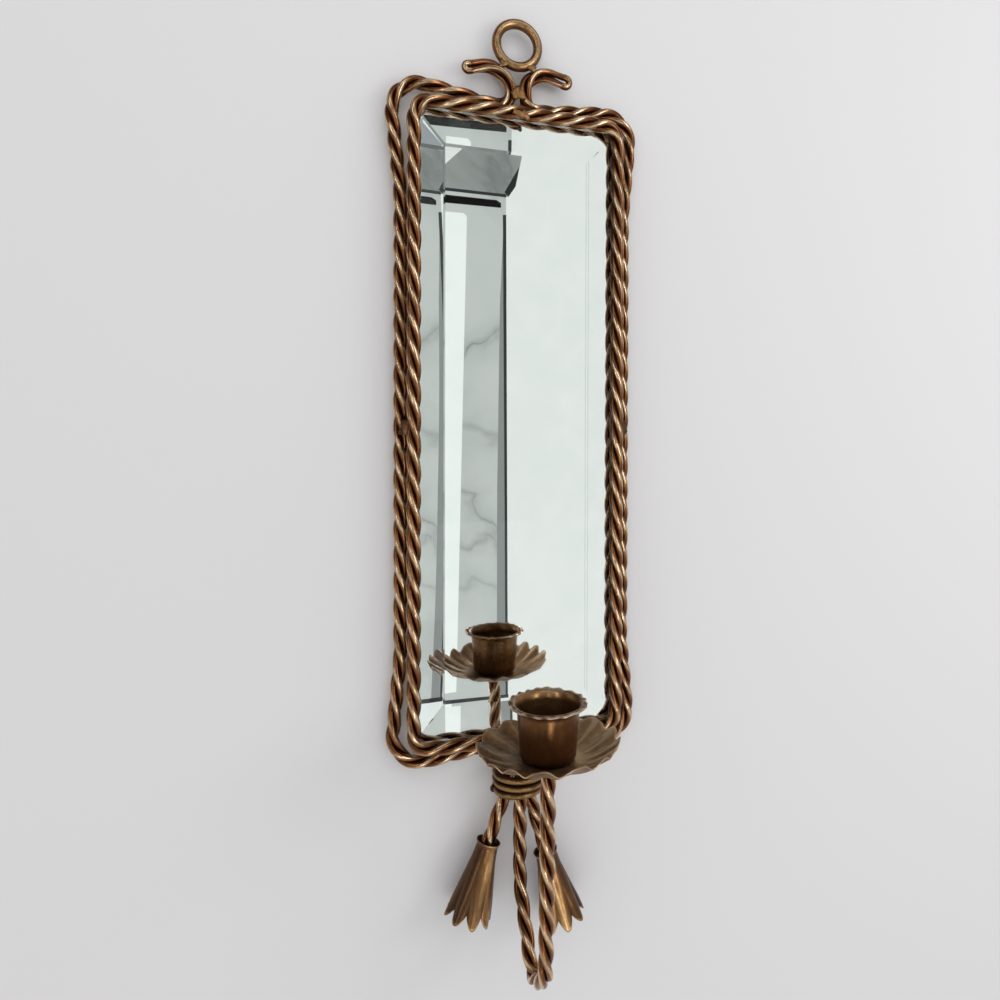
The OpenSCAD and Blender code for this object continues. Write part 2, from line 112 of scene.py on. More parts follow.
def mixColour(tree, factor, a, b):
    node = addNode(tree, "ShaderNodeMix", data_type="RGBA")
    colourInputs = [s for s in node.inputs if s.type == "RGBA"]
    for socket, value in ((node.inputs[0], factor), (colourInputs[0], a), (colourInputs[1], b)):
        if isinstance(value, bpy.types.NodeSocket):
            tree.links.new(value, socket)
        elif isinstance(value, tuple):
            socket.default_value = (*value, 1)
        else:
            socket.default_value = value
    return [s for s in node.outputs if s.type == "RGBA"][0]


def noiseAt(tree, where, scale, detail=4, rough=0.55, swirl=0.0):
    inputs = {"Vector": where, "Scale": scale, "Detail": detail, "Roughness": rough, "Distortion": swirl}
    return addNode(tree, "ShaderNodeTexNoise", inputs).outputs["Fac"]


def spread(tree, value, given, wanted=(0, 1)):
    # maps the first span onto the second, and holds it at the ends
    spans = {"From Min": given[0], "From Max": given[1], "To Min": wanted[0], "To Max": wanted[1]}
    return addNode(tree, "ShaderNodeMapRange", {"Value": value, **spans}).outputs[0]


def ownPlace(tree):
    return addNode(tree, "ShaderNodeTexCoord").outputs["Object"]


def addBump(tree, shader, height, strength, distance):
    bump = addNode(tree, "ShaderNodeBump", {"Height": height, "Strength": strength, "Distance": distance})
    tree.links.new(bump.outputs[0], shader.inputs["Normal"])


def newMaterial(name):
    material = bpy.data.materials.new(name)
    material.use_nodes = True
    tree = material.node_tree
    shader = tree.nodes["Principled BSDF"]
    return material, tree, shader


# Bronze finishes. Each goes from the dark patina of the grooves, over the body, to the ridges, whose top colour is
# rubbed wear with a painted highlight laid along it. On the dish, the cup, the tassels and the welds, the crest that
# picks these colours also carries painted light and shade.
bronzeLooks = {
    "rodBronze": {
        "groove": (0.075, 0.023, 0.007), "body": (0.14, 0.05, 0.017), "ridge": (0.26, 0.125, 0.052),
        "wornAndSheen": (0.68, 0.5, 0.32), "patch": (0.11, 0.062, 0.036), "patchShare": 0.5,
        "grooveAt": 0.36, "bodyAt": 0.6, "ridgeAt": 0.89, "metal": 0.94, "rough": (0.17, 0.27),
        "grain": 300, "cloud": 0.34, "speckle": 0.16, "bump": 0.06,
    },
    "ringBronze": {
        "groove": (0.04, 0.016, 0.006), "body": (0.15, 0.067, 0.026), "ridge": (0.235, 0.122, 0.052),
        "wornAndSheen": (0.46, 0.3, 0.155), "patch": (0.12, 0.06, 0.035), "patchShare": 0.45,
        "grooveAt": 0.2, "bodyAt": 0.55, "ridgeAt": 0.92, "metal": 0.92, "rough": (0.24, 0.33),
        "grain": 260, "cloud": 0.4, "speckle": 0.1, "bump": 0.03,
    },
    "weldMetal": {
        "groove": (0.03, 0.012, 0.004), "body": (0.16, 0.072, 0.027), "ridge": (0.3, 0.165, 0.068),
        "wornAndSheen": (0.5, 0.34, 0.16), "patch": (0.09, 0.045, 0.022), "patchShare": 0.5,
        "grooveAt": 0.3, "bodyAt": 0.6, "ridgeAt": 0.9, "metal": 0.92, "rough": (0.26, 0.42),
        "grain": 600, "cloud": 0.5, "speckle": 0.3, "bump": 0.3,
    },
    "sideWeld": {
        "groove": (0.02, 0.008, 0.003), "body": (0.07, 0.028, 0.012), "ridge": (0.14, 0.066, 0.032),
        "wornAndSheen": (0.46, 0.33, 0.22), "patch": (0.05, 0.025, 0.014), "patchShare": 0.5,
        "grooveAt": 0.3, "bodyAt": 0.6, "ridgeAt": 0.9, "metal": 0.85, "rough": (0.34, 0.5),
        "grain": 700, "cloud": 0.6, "speckle": 0.5, "bump": 0.6,
    },
    "wireBronze": {
        "groove": (0.008, 0.003, 0.0012), "body": (0.034, 0.014, 0.005), "ridge": (0.088, 0.04, 0.013),
        "wornAndSheen": (0.3, 0.18, 0.07), "patch": (0.07, 0.035, 0.02), "patchShare": 0.5,
        "grooveAt": 0.3, "bodyAt": 0.55, "ridgeAt": 0.92, "metal": 0.9, "rough": (0.3, 0.46),
        "grain": 600, "cloud": 0.4, "speckle": 0.22, "bump": 0.28,
    },
    "dishBronze": {
        "groove": (0.09, 0.052, 0.026), "body": (0.27, 0.155, 0.078), "ridge": (0.45, 0.27, 0.14),
        "wornAndSheen": (0.6, 0.44, 0.28), "patch": (0.13, 0.08, 0.044), "patchShare": 0.6,
        "grooveAt": 0.2, "bodyAt": 0.5, "ridgeAt": 0.8, "metal": 0.85, "rough": (0.32, 0.48),
        "grain": 300, "cloud": 0.85, "speckle": 0.6, "bump": 0.45,
    },
    "cupBronze": {
        "groove": (0.016, 0.007, 0.003), "body": (0.14, 0.064, 0.024), "ridge": (0.26, 0.142, 0.06),
        "wornAndSheen": (0.62, 0.5, 0.37), "patch": (0.075, 0.042, 0.022), "patchShare": 0.5,
        "grooveAt": 0.15, "bodyAt": 0.45, "ridgeAt": 0.78, "metal": 0.9, "rough": (0.25, 0.34),
        "grain": 300, "cloud": 0.5, "speckle": 0.1, "bump": 0.04,
    },
    "tasselBronze": {
        "groove": (0.03, 0.014, 0.006), "body": (0.108, 0.051, 0.021), "ridge": (0.29, 0.152, 0.06),
        "wornAndSheen": (0.66, 0.45, 0.22), "patch": (0.12, 0.08, 0.052), "patchShare": 0.45,
        "grooveAt": 0.2, "bodyAt": 0.5, "ridgeAt": 0.86, "metal": 0.94, "rough": (0.28, 0.38),
        "grain": 300, "cloud": 0.4, "speckle": 0.08, "bump": 0.03,
    },
    "darkBronze": {
        "groove": (0.015, 0.008, 0.004), "body": (0.045, 0.024, 0.011), "ridge": (0.09, 0.05, 0.024),
        "wornAndSheen": (0.2, 0.13, 0.06), "patch": (0.03, 0.018, 0.01), "patchShare": 0.5,
        "grooveAt": 0.2, "bodyAt": 0.5, "ridgeAt": 0.8, "metal": 0.7, "rough": (0.45, 0.7),
        "grain": 600, "cloud": 0.55, "speckle": 0.3, "bump": 0.4,
    },
}


def bronzeFinish(name, look, crest=True):
    material, tree, shader = newMaterial(name)
    where = ownPlace(tree)
    cloud = noiseAt(tree, where, 55, 5, 0.6)
    speck = noiseAt(tree, where, look["grain"], 6, 0.7)
    if crest:
        height = addNode(tree, "ShaderNodeAttribute", attribute_name="crest").outputs["Fac"]
    else:
        height = mathNode(tree, "ADD", mathNode(tree, "MULTIPLY", cloud, 0.8), 0.1)
    for pattern, amount, clamp in ((cloud, look["cloud"], False), (speck, look["speckle"], True)):
        change = mathNode(tree, "MULTIPLY", mathNode(tree, "SUBTRACT", pattern, 0.5), amount)
        height = mathNode(tree, "ADD", height, change, clamp=clamp)
    # at crest 1 the ramp reaches rubbed wear with a painted highlight over it
    colour = ramp(tree, height, [
        (look["grooveAt"] * 0.5, look["groove"]), (look["bodyAt"], look["body"]), (look["ridgeAt"], look["ridge"]),
        (1, look["wornAndSheen"])])
    patches = spread(tree, noiseAt(tree, where, 24, 3, 0.5), (0.42, 0.66), (0, look["patchShare"]))
    colour = mixColour(tree, patches, colour, mixColour(tree, 0.5, colour, look["patch"]))
    tree.links.new(colour, shader.inputs["Base Color"])
    shader.inputs["Metallic"].default_value = look["metal"]
    # hollows are duller than what hands have rubbed
    roughness = spread(tree, speck, (0.3, 0.7), look["rough"])
    dull = spread(tree, height, (0.1, 0.5), (0.16, 0))
    tree.links.new(mathNode(tree, "ADD", roughness, dull), shader.inputs["Roughness"])
    dents = mathNode(tree, "MULTIPLY", noiseAt(tree, where, 150, 3), 0.9)
    addBump(tree, shader, mathNode(tree, "ADD", mathNode(tree, "MULTIPLY", speck, 0.4), dents), look["bump"], 0.0012)
    return material


finishes = {name: bronzeFinish(name, look) for name, look in bronzeLooks.items()}
plainFinishes = {name: bronzeFinish(name + "Plain", bronzeLooks[name], crest=False)
                 for name in ("darkBronze", "cupBronze")}


def woodFinish():
    material, tree, shader = newMaterial("boardWood")
    where = ownPlace(tree)
    long = addNode(tree, "ShaderNodeMapping", {"Vector": where, "Scale": (14, 14, 1.2)}).outputs[0]
    fibre = noiseAt(tree, long, 16, 8, 0.7)
    speck = noiseAt(tree, where, 900, 3)
    grain = mathNode(tree, "MULTIPLY_ADD", fibre, 0.75, mathNode(tree, "MULTIPLY", speck, 0.25))
    colour = ramp(tree, grain, [(0.3, (0.16, 0.09, 0.045)), (0.55, (0.31, 0.19, 0.10)), (0.75, (0.42, 0.28, 0.16))])
    tree.links.new(colour, shader.inputs["Base Color"])
    tree.links.new(spread(tree, fibre, (0, 1), (0.7, 0.9)), shader.inputs["Roughness"])
    addBump(tree, shader, fibre, 0.3, 0.0006)
    return material


def steelFinish(name, dark, light, rust):
    material, tree, shader = newMaterial(name)
    where = ownPlace(tree)
    cloud = noiseAt(tree, where, 30, 6, 0.65)
    speck = noiseAt(tree, where, 500, 5, 0.7)
    colour = ramp(tree, cloud, [(0.3, dark), (0.55, light), (0.8, dark)])
    spots = spread(tree, speck, (0.62, 0.75))
    tree.links.new(mixColour(tree, spots, colour, rust), shader.inputs["Base Color"])
    shader.inputs["Metallic"].default_value = 0.85
    tree.links.new(spread(tree, speck, (0, 1), (0.32, 0.6)), shader.inputs["Roughness"])
    addBump(tree, shader, speck, 0.15, 0.0004)
    return material


glass = {
    "bevelSide": 0.0235, "bevelEnd": 0.0277, "bendSide": 1.52, "bendEnd": 1.64,
    "lineWidth": 0.0006, "arrisShadeColour": (0.40, 0.44, 0.43), "lineShare": 0.7,
    "film": 0.00004, "filmMargin": 0.0003,
}


def glassFinish():
    material, tree, shader = newMaterial("bevelledGlass")
    where = ownPlace(tree)
    haze = noiseAt(tree, where, 40, 4)
    shader.inputs["Transmission Weight"].default_value = 1
    low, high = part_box("mirror_glass")
    x, y, z = addNode(tree, "ShaderNodeSeparateXYZ", {0: where}).outputs

    def pastBevel(value, start, end, bevel):
        fromMiddle = mathNode(tree, "ABSOLUTE", mathNode(tree, "SUBTRACT", value, (start + end) / 2))
        return mathNode(tree, "SUBTRACT", fromMiddle, (end - start) / 2 - bevel)

    aside = pastBevel(x, low.x, high.x, glass["bevelSide"])
    beyond = pastBevel(z, low.z, high.z, glass["bevelEnd"])
    endBevel = mathNode(tree, "GREATER_THAN", beyond, mathNode(tree, "MAXIMUM", aside, 0.0))
    bend = mathNode(tree, "MULTIPLY_ADD", endBevel, glass["bendEnd"] - glass["bendSide"], glass["bendSide"])
    tree.links.new(bend, shader.inputs["IOR"])
    # a darker line is painted into the glass colour along the edge where a side bevel starts, painted shade for how
    # that edge catches the light, and the glass is a little rougher there
    off = mathNode(tree, "MAXIMUM", mathNode(tree, "ABSOLUTE", aside), beyond)
    line = spread(tree, off, (0, glass["lineWidth"]), (1, 0))
    line = mathNode(tree, "MULTIPLY", line, mathNode(tree, "LESS_THAN", y, low.y + 0.0005))
    clean = ramp(tree, haze, [(0.3, (0.972, 0.984, 0.976)), (0.7, (0.984, 0.992, 0.986))])
    lined = mixColour(tree, mathNode(tree, "MULTIPLY", line, glass["lineShare"]), clean, glass["arrisShadeColour"])
    tree.links.new(lined, shader.inputs["Base Color"])
    smear = spread(tree, haze, (0.45, 0.8), (0, 0.012))
    tree.links.new(mathNode(tree, "MULTIPLY_ADD", line, 0.06, smear), shader.inputs["Roughness"])
    addBump(tree, shader, noiseAt(tree, where, 9, 2), 0.06, 0.0006)
    return material


def silverFinish():
    material, tree, shader = newMaterial("silverFilm")
    where = ownPlace(tree)
    cloud = noiseAt(tree, where, 30, 5)
    silver = ramp(tree, cloud, [(0.35, (0.90, 0.92, 0.915)), (0.7, (0.94, 0.95, 0.945))])
    tree.links.new(silver, shader.inputs["Base Color"])
    shader.inputs["Metallic"].default_value = 1
    tree.links.new(spread(tree, cloud, (0.5, 0.9), (0, 0.01)), shader.inputs["Roughness"])
    return material


print("finishes made:", len(finishes) + len(plainFinishes))


# Routes of the ropes, in millimetres, through corner points with bend radii
def roundCorner(before, corner, after, radius, step):
    back = (before - corner).normalized()
    ahead = (after - corner).normalized()
    half = back.angle(ahead) / 2
    sweep = math.pi - 2 * half
    centre = corner + (back + ahead).normalized() * radius / math.sin(half)
    u = corner + back * radius / math.tan(half) - centre
    v = corner + ahead * radius / math.tan(half) - centre
    count = max(3, math.ceil(sweep * radius / step))
    return [centre + (u * math.sin(sweep * (count - k) / count) + v * math.sin(sweep * k / count)) / math.sin(sweep)
            for k in range(count + 1)]


def route(corners, radii, closed=False, step=1.4):
    corners = [Vector(c) for c in corners]
    last = len(corners)
    points = []
    if closed:
        for i in range(last):
            points += roundCorner(corners[i - 1], corners[i], corners[(i + 1) % last], radii[i], step)
    else:
        points = [corners[0]]
        for i in range(1, last - 1):
            points += roundCorner(corners[i - 1], corners[i], corners[i + 1], radii[i - 1], step)
        points.append(corners[-1])
    filled = []
    for i in range(len(points) if closed else len(points) - 1):
        a, b = points[i], points[(i + 1) % len(points)]
        parts = max(1, math.ceil((b - a).length / step - 0.01))
        if (b - a).length > 1e-4:
            filled += [a.lerp(b, k / parts) for k in range(parts)]
    return filled if closed else filled + [points[-1]]


def lengthOf(points, closed=False):
    total = sum((b - a).length for a, b in zip(points, points[1:]))
    return total + (points[0] - points[-1]).length if closed else total


def easedEnds(points, rodRadius):
    # more points close to the ends, where a rod is rounded off
    first = (points[1] - points[0]).normalized()
    last = (points[-2] - points[-1]).normalized()
    near = [0, 0.04, 0.14, 0.32, 0.6, 1]
    head = [points[0] + first * rodRadius * k for k in near]
    tail = [points[-1] + last * rodRadius * k for k in reversed(near)]
    body = [p for p in points if (p - points[0]).length > rodRadius * 1.2 and (p - points[-1]).length > rodRadius * 1.2]
    return head + body + tail


# Geometry Nodes: a rod that lies in a rope and winds about its route
def socketsOf(tree, inputs):
    for name, kind in inputs:
        tree.interface.new_socket(name=name, in_out="INPUT", socket_type="NodeSocket" + kind)
    tree.interface.new_socket(name="Geometry", in_out="OUTPUT", socket_type="NodeSocketGeometry")
    return addNode(tree, "NodeGroupInput").outputs, addNode(tree, "NodeGroupOutput")


def vectorNode(tree, operation, *values, scale=None):
    node = addNode(tree, "ShaderNodeVectorMath", dict(enumerate(values)), operation=operation)
    if scale is not None:
        tree.links.new(scale, node.inputs["Scale"])
    return node.outputs["Value" if operation in ("DOT_PRODUCT", "LENGTH") else "Vector"]


def storeOn(tree, geometry, name, value, kind="FLOAT"):
    return addNode(tree, "GeometryNodeStoreNamedAttribute", {"Geometry": geometry, "Name": name, "Value": value},
                   data_type=kind, domain="POINT").outputs[0]


def twistedRodTree():
    tree = bpy.data.node_groups.new("twistedRod", "GeometryNodeTree")
    given, out = socketsOf(tree, [
        ("Geometry", "Geometry"), ("Rod Radius", "Float"), ("Rope Radius", "Float"), ("Turns", "Float"),
        ("Phase", "Float"), ("Reference", "Vector"), ("Tip Spread", "Float"), ("Tip Turn", "Float"),
        ("Tip Length", "Float"), ("Round Ends", "Float"), ("Rod Sides", "Int"), ("Unevenness", "Float"),
        ("Seed", "Float"), ("Finish", "Material")])
    along = addNode(tree, "GeometryNodeSplineParameter").outputs
    total = addNode(tree, "GeometryNodeSplineLength").outputs["Length"]
    heading = addNode(tree, "GeometryNodeInputTangent").outputs[0]
    lean = vectorNode(tree, "DOT_PRODUCT", given["Reference"], heading)
    flat = vectorNode(tree, "SUBTRACT", given["Reference"], vectorNode(tree, "SCALE", heading, scale=lean))
    u = vectorNode(tree, "NORMALIZE", flat)
    v = vectorNode(tree, "CROSS_PRODUCT", heading, u)
    # near a rope's tip the rods may turn and spread
    depth = mathNode(tree, "DIVIDE", along["Length"], given["Tip Length"])
    fade = mathNode(tree, "EXPONENT", mathNode(tree, "MULTIPLY", depth, -1.0))
    wind = mathNode(tree, "MULTIPLY", given["Turns"], math.tau)
    angle = mathNode(tree, "MULTIPLY_ADD", along["Factor"], wind, given["Phase"])
    angle = mathNode(tree, "MULTIPLY_ADD", fade, given["Tip Turn"], angle)
    outward = vectorNode(tree, "ADD", vectorNode(tree, "SCALE", u, scale=mathNode(tree, "COSINE", angle)),
                         vectorNode(tree, "SCALE", v, scale=mathNode(tree, "SINE", angle)))
    wider = mathNode(tree, "MULTIPLY_ADD", mathNode(tree, "POWER", fade, 2.2), given["Tip Spread"], 1.0)
    reach = mathNode(tree, "MULTIPLY", given["Rope Radius"], wider)
    # a dome at each end of the rod
    end = mathNode(tree, "MINIMUM", along["Length"], mathNode(tree, "SUBTRACT", total, along["Length"]))
    share = mathNode(tree, "MINIMUM", mathNode(tree, "DIVIDE", end, given["Rod Radius"]), 1.0)
    dome = mathNode(tree, "SQRT", mathNode(tree, "MULTIPLY", share, mathNode(tree, "SUBTRACT", 2.0, share)))
    thick = mathNode(tree, "MAXIMUM", dome, mathNode(tree, "SUBTRACT", 1.02, given["Round Ends"]))
    marked = storeOn(tree, given["Geometry"], "outward", outward, "FLOAT_VECTOR")
    marked = storeOn(tree, marked, "thick", thick)
    aside = addNode(tree, "GeometryNodeInputNamedAttribute", {"Name": "outward"}, data_type="FLOAT_VECTOR").outputs[0]
    scale = addNode(tree, "GeometryNodeInputNamedAttribute", {"Name": "thick"}, data_type="FLOAT").outputs[0]
    offset = vectorNode(tree, "SCALE", aside, scale=reach)
    wound = addNode(tree, "GeometryNodeSetPosition", {"Geometry": marked, "Offset": offset}).outputs[0]
    section = addNode(tree, "GeometryNodeCurvePrimitiveCircle",
                      {"Resolution": given["Rod Sides"], "Radius": given["Rod Radius"]}, mode="RADIUS").outputs[0]
    rod = addNode(tree, "GeometryNodeCurveToMesh",
                  {"Curve": wound, "Profile Curve": section, "Scale": scale, "Fill Caps": True}).outputs[0]
    # the crest is 0 in the rope's middle and 1 on its outside
    facing = addNode(tree, "GeometryNodeInputNormal").outputs[0]
    crest = mathNode(tree, "MULTIPLY_ADD", vectorNode(tree, "DOT_PRODUCT", facing, aside), 0.5, 0.5)
    rod = storeOn(tree, rod, "crest", crest)
    place = addNode(tree, "GeometryNodeInputPosition").outputs[0]
    ripple = addNode(tree, "ShaderNodeTexNoise", {"Vector": place, "W": given["Seed"], "Scale": 75.0, "Detail": 2.0},
                     noise_dimensions="4D").outputs["Fac"]
    push = mathNode(tree, "MULTIPLY", mathNode(tree, "SUBTRACT", ripple, 0.5), given["Unevenness"])
    for kind, inputs in (
            ("GeometryNodeSetPosition", {"Offset": vectorNode(tree, "SCALE", facing, scale=push)}),
            ("GeometryNodeRemoveAttribute", {"Name": "outward"}), ("GeometryNodeRemoveAttribute", {"Name": "thick"}),
            ("GeometryNodeSetShadeSmooth", {}), ("GeometryNodeRealizeInstances", {}),
            ("GeometryNodeSetMaterial", {"Material": given["Finish"]})):
        rod = addNode(tree, kind, {"Geometry": rod, **inputs}).outputs[0]
    tree.links.new(rod, out.inputs[0])
    return tree


rodTree = twistedRodTree()


def keepPiece(name, mesh, slot, *nodes):
    piece = bpy.data.objects.new(name, mesh)
    scene.collection.objects.link(piece)
    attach(piece, "root")
    if nodes:
        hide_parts(*nodes)


def windRod(name, points, sizes, finish, slot, *nodes, closed=False):
    # runs the tree on a route and keeps the result as a plain mesh
    data = bpy.data.curves.new(name + "Route", "CURVE")
    data.dimensions = "3D"
    spline = data.splines.new("POLY")
    if not closed and sizes["Round Ends"]:
        points = easedEnds(points, sizes["Rod Radius"] * 1000)
    spline.points.add(len(points) - 1)
    for target, p in zip(spline.points, points):
        target.co = (*(p * 0.001), 1)
    spline.use_cyclic_u = closed
    guide = bpy.data.objects.new(name + "Route", data)
    scene.collection.objects.link(guide)
    modifier = guide.modifiers.new("wind", "NODES")
    modifier.node_group = rodTree
    values = {**sizes, "Finish": finish}
    for item in rodTree.interface.items_tree:
        if item.in_out == "INPUT" and item.name in values:
            modifier[item.identifier] = values[item.name]
    mesh = bpy.data.meshes.new_from_object(guide.evaluated_get(bpy.context.evaluated_depsgraph_get()))
    mesh.name = name
    guide.modifiers.remove(modifier)
    bpy.data.objects.remove(guide)
    keepPiece(name, mesh, slot, *nodes)


# Everything below is in the part's own measures, in millimetres
sconce = {
    "rodRadius": 2.64, "ropeRadius": 3.2, "ropeLead": 62, "ropeSize": 12.828,
    "innerX": 85.8, "innerY": -11.5, "innerTop": -61.48, "innerBottom": -576.88, "innerBend": 14,
    "outerX": 95.3, "outerTop": -54.28, "outerBottom": -583.08, "outerBend": 24,
    "earSide": 8.5, "earEnd": 11.5, "earExtra": 4, "earRun": 80,
    "ringRadius": 17.7, "ringRod": 3.8, "stemX": 6.514, "stemBend": 12,
    "curlBend": 17.5, "curlReach": 41.5, "curlFall": math.radians(15), "curlX": 24.01, "curlZ": -38.78,
    "tailY": -3.9, "bindingTop": -602.08, "bindingBottom": -622.21,
    "tails": {-1: 38, 1: 54}, "spreads": {-1: 25, 1: 23.5}, "leans": {-1: math.radians(17.5), 1: math.radians(14)},
    "armY": -15.18, "armReach": 98.3, "hookZ": -745.21, "bossZ": -559.78, "dishZ": -554.88,
}


def collarPlace(side):
    k = sconce
    return Vector((side * k["spreads"][side], k["tailY"] - 5, k["bindingBottom"] - k["tails"][side]))


def innerRoute():
    x, y, top, bottom = sconce["innerX"], sconce["innerY"], sconce["innerTop"], sconce["innerBottom"]
    return route([(-x, y, top), (x, y, top), (x, y, bottom), (-x, y, bottom)], [sconce["innerBend"]] * 4, closed=True)


def outerRoute(side):
    k = sconce
    curlTop = k["curlZ"] + k["curlBend"] * math.tan((math.pi / 2 + k["curlFall"]) / 2)
    extra = k["earExtra"] if side < 0 else 0
    tailIn, tailOut = k["stemX"] + 0.2, k["stemX"] + 2.2
    lean = k["leans"][side]
    collar = collarPlace(side)
    down = Vector((side * math.sin(lean), -0.05, -math.cos(lean)))
    return route([
        (side * k["curlReach"], 0, curlTop - (k["curlReach"] - k["stemX"]) * math.tan(k["curlFall"])),
        (side * k["stemX"], 0, curlTop),
        (side * k["stemX"], 0, k["outerTop"]),
        (side * (k["outerX"] + k["earSide"] + 0.4 * extra), 0, k["outerTop"] + k["earEnd"] + extra),
        (side * k["outerX"], 0, k["outerTop"] - k["earRun"]),
        (side * k["outerX"], 0, k["outerBottom"] + k["earRun"]),
        (side * (k["outerX"] + k["earSide"]), 0, k["outerBottom"] - k["earEnd"]),
        (side * tailIn, 0, k["outerBottom"]),
        (side * tailIn, k["tailY"], k["bindingTop"]),
        (side * tailOut, k["tailY"], k["bindingBottom"]),
        collar,
        collar + 13 * down,
    ], [k["curlBend"], k["stemBend"], k["outerBend"], k["earRun"], k["earRun"], k["outerBend"], k["stemBend"],
        k["outerBend"], k["outerBend"], k["outerBend"]])


def armRoute():
    k = sconce
    reach, hook = k["armReach"], k["hookZ"]
    return route([
        (0, k["armY"], k["innerBottom"] - k["ropeSize"] / 2 - 0.2),
        (0, k["armY"], hook + 48),
        (0, -0.6 * reach, hook),
        (0, -reach + 4.5, hook + 29),
        (0, -reach, k["dishZ"] - 44),
        (0, -reach, k["bossZ"] - 0.2),
    ], [40, 16, 20, 80])


# The tips of the left and the right curl (-1 and 1) spread and turn, and those of the other ropes (0) don't
ropeLook = {
    "sides": 16, "uneven": 0.00016, "tipLength": 0.031,
    "tipSpreads": {-1: 0.05, 0: 0.0, 1: 0.34}, "tipTurns": {-1: -math.pi, 0: 0.0, 1: -math.pi},
}
sideNames = {-1: "Left", 1: "Right"}


def windRope(label, nodeStem, points, reference, closed=False, phase=0, tip=0):
    turns = lengthOf(points, closed) / sconce["ropeLead"]
    if closed:
        turns = round(turns)
    look = ropeLook
    for k in range(3):
        windRod(f"{label}{k + 1}", points, {
            "Rod Radius": sconce["rodRadius"] * 0.001, "Rope Radius": sconce["ropeRadius"] * 0.001,
            "Turns": -float(turns), "Phase": phase + k * math.tau / 3, "Reference": reference,
            "Tip Spread": look["tipSpreads"][tip], "Tip Turn": look["tipTurns"][tip], "Tip Length": look["tipLength"],
            "Round Ends": 0.0 if closed else 1.0, "Rod Sides": look["sides"], "Unevenness": look["uneven"],
            "Seed": float(k + len(label)),
        }, finishes["rodBronze"], "rod_bronze", f"{nodeStem}_{k + 1}", closed=closed)


front, sideways = (0.0, -1.0, 0.0), (1.0, 0.0, 0.0)
windRope("innerRod", "inner_rod", innerRoute(), front, closed=True)
windRope("outerLeftRod", "outer_left_rod", outerRoute(-1), front, tip=-1)
windRope("outerRightRod", "outer_right_rod", outerRoute(1), front, tip=1)
windRope("armRod", "arm_rod", armRoute(), sideways, phase=math.radians(30))
print("ropes wound")

# In a plain rod, with no rope radius, the crest follows the Reference, so the rod is coloured lighter on the side the
# Reference points to and darker on the other side: the front for the ring and the curl loops, the outside of the coil
# for the binding
plainRod = {
    "Rope Radius": 0.0, "Turns": 0.0, "Phase": 0.0, "Reference": front, "Tip Spread": 0.0, "Tip Turn": 0.0,
    "Tip Length": 1.0, "Round Ends": 1.0, "Rod Sides": 16, "Unevenness": 0.0002, "Seed": 3.0,
}


def curlLoop(side):
    # the rod at a curl's tip is folded over, from the upper front rod to the lower one
    points = outerRoute(side)
    heading = (points[1] - points[0]).normalized()
    u = (Vector(front) - heading * heading.dot(Vector(front))).normalized()
    v = heading.cross(u)
    reach = sconce["ropeRadius"] * (1 + ropeLook["tipSpreads"][side])
    ends = []
    for k in (1, 2):
        turn = k * math.tau / 3 + ropeLook["tipTurns"][side]
        ends.append(points[0] + reach * (u * math.cos(turn) + v * math.sin(turn)))
    middle = (ends[0] + ends[1]) / 2
    arm = ends[0] - middle
    angles = [math.pi * i / 20 for i in range(21)]
    bend = [middle + arm * math.cos(a) - heading * arm.length * 0.95 * math.sin(a) for a in angles]
    # the fold starts inside the two rods, and its rod is a little thicker so that no seam shows
    bend = [ends[0] + heading * 2.5 + arm * 0.02] + bend + [ends[1] + heading * 2.5 - arm * 0.02]
    sizes = {**plainRod, "Rod Radius": sconce["rodRadius"] * 0.00101, "Round Ends": 0.0}
    windRod("curlLoop" + sideNames[side], bend, sizes, finishes["rodBronze"], "rod_bronze")


curlLoop(-1)
curlLoop(1)

# Hanging ring
ringAngles = [math.tau * i / 96 for i in range(96)]
ringRoute = [sconce["ringRadius"] * Vector((math.cos(a), 0, math.sin(a))) for a in ringAngles]
ringSizes = {**plainRod, "Rod Radius": sconce["ringRod"] * 0.001, "Round Ends": 0.0, "Rod Sides": 28}
windRod("hangingRing", ringRoute, ringSizes, finishes["ringBronze"], "rod_bronze", "hanging_ring", closed=True)

# Binding wire: an oval coil, flatter against the wall, whose lower end is turned out
binding = {
    "wire": 2.9, "halfWidth": 18.38, "backY": 5.76, "frontY": -24.85, "backPower": 3.4, "frontPower": 2,
    "start": 160, "turns": 3, "drops": 2.1, "pitch": 6.5, "endKick": 3.2, "endSteps": 4, "turnSteps": 72,
}


def bowed(value, power):
    return math.copysign(abs(value) ** (2 / power), value)


def bindingRoute():
    b = binding
    middle, depth = (b["backY"] + b["frontY"]) / 2, (b["backY"] - b["frontY"]) / 2
    top = sconce["bindingTop"] - b["wire"]
    points = []
    count = round(b["turns"] * b["turnSteps"])
    for i in range(count + b["endSteps"] + 1):
        turned = i / b["turnSteps"]
        a = math.radians(b["start"] + 360 * turned)
        power = b["backPower"] if math.sin(a) > 0 else b["frontPower"]
        beyond = max(0, i - count) / b["endSteps"]
        swell = 1 + beyond * beyond * b["endKick"] / b["halfWidth"]
        points.append(Vector((b["halfWidth"] * bowed(math.cos(a), power) * swell,
                              middle + depth * bowed(math.sin(a), power), top - b["pitch"] * min(turned, b["drops"]))))
    return points


bindingSizes = {**plainRod, "Rod Radius": binding["wire"] * 0.001, "Reference": (0.0, 0.0, 1.0), "Phase": math.pi / 2}
windRod("bindingWire", bindingRoute(), bindingSizes, finishes["wireBronze"], "wire_bronze", "binding_wire")
print("ring and binding made")


# Pieces from rings of points
def addCrest(mesh, finish, values):
    # smooth metal, with a crest from 0, for hollows and painted shade, to 1, for rubbed places and painted highlights
    mesh.polygons.foreach_set("use_smooth", [True] * len(mesh.polygons))
    mesh.materials.append(finish)
    layer = mesh.attributes.new("crest", "FLOAT", "POINT")
    layer.data.foreach_set("value", values)


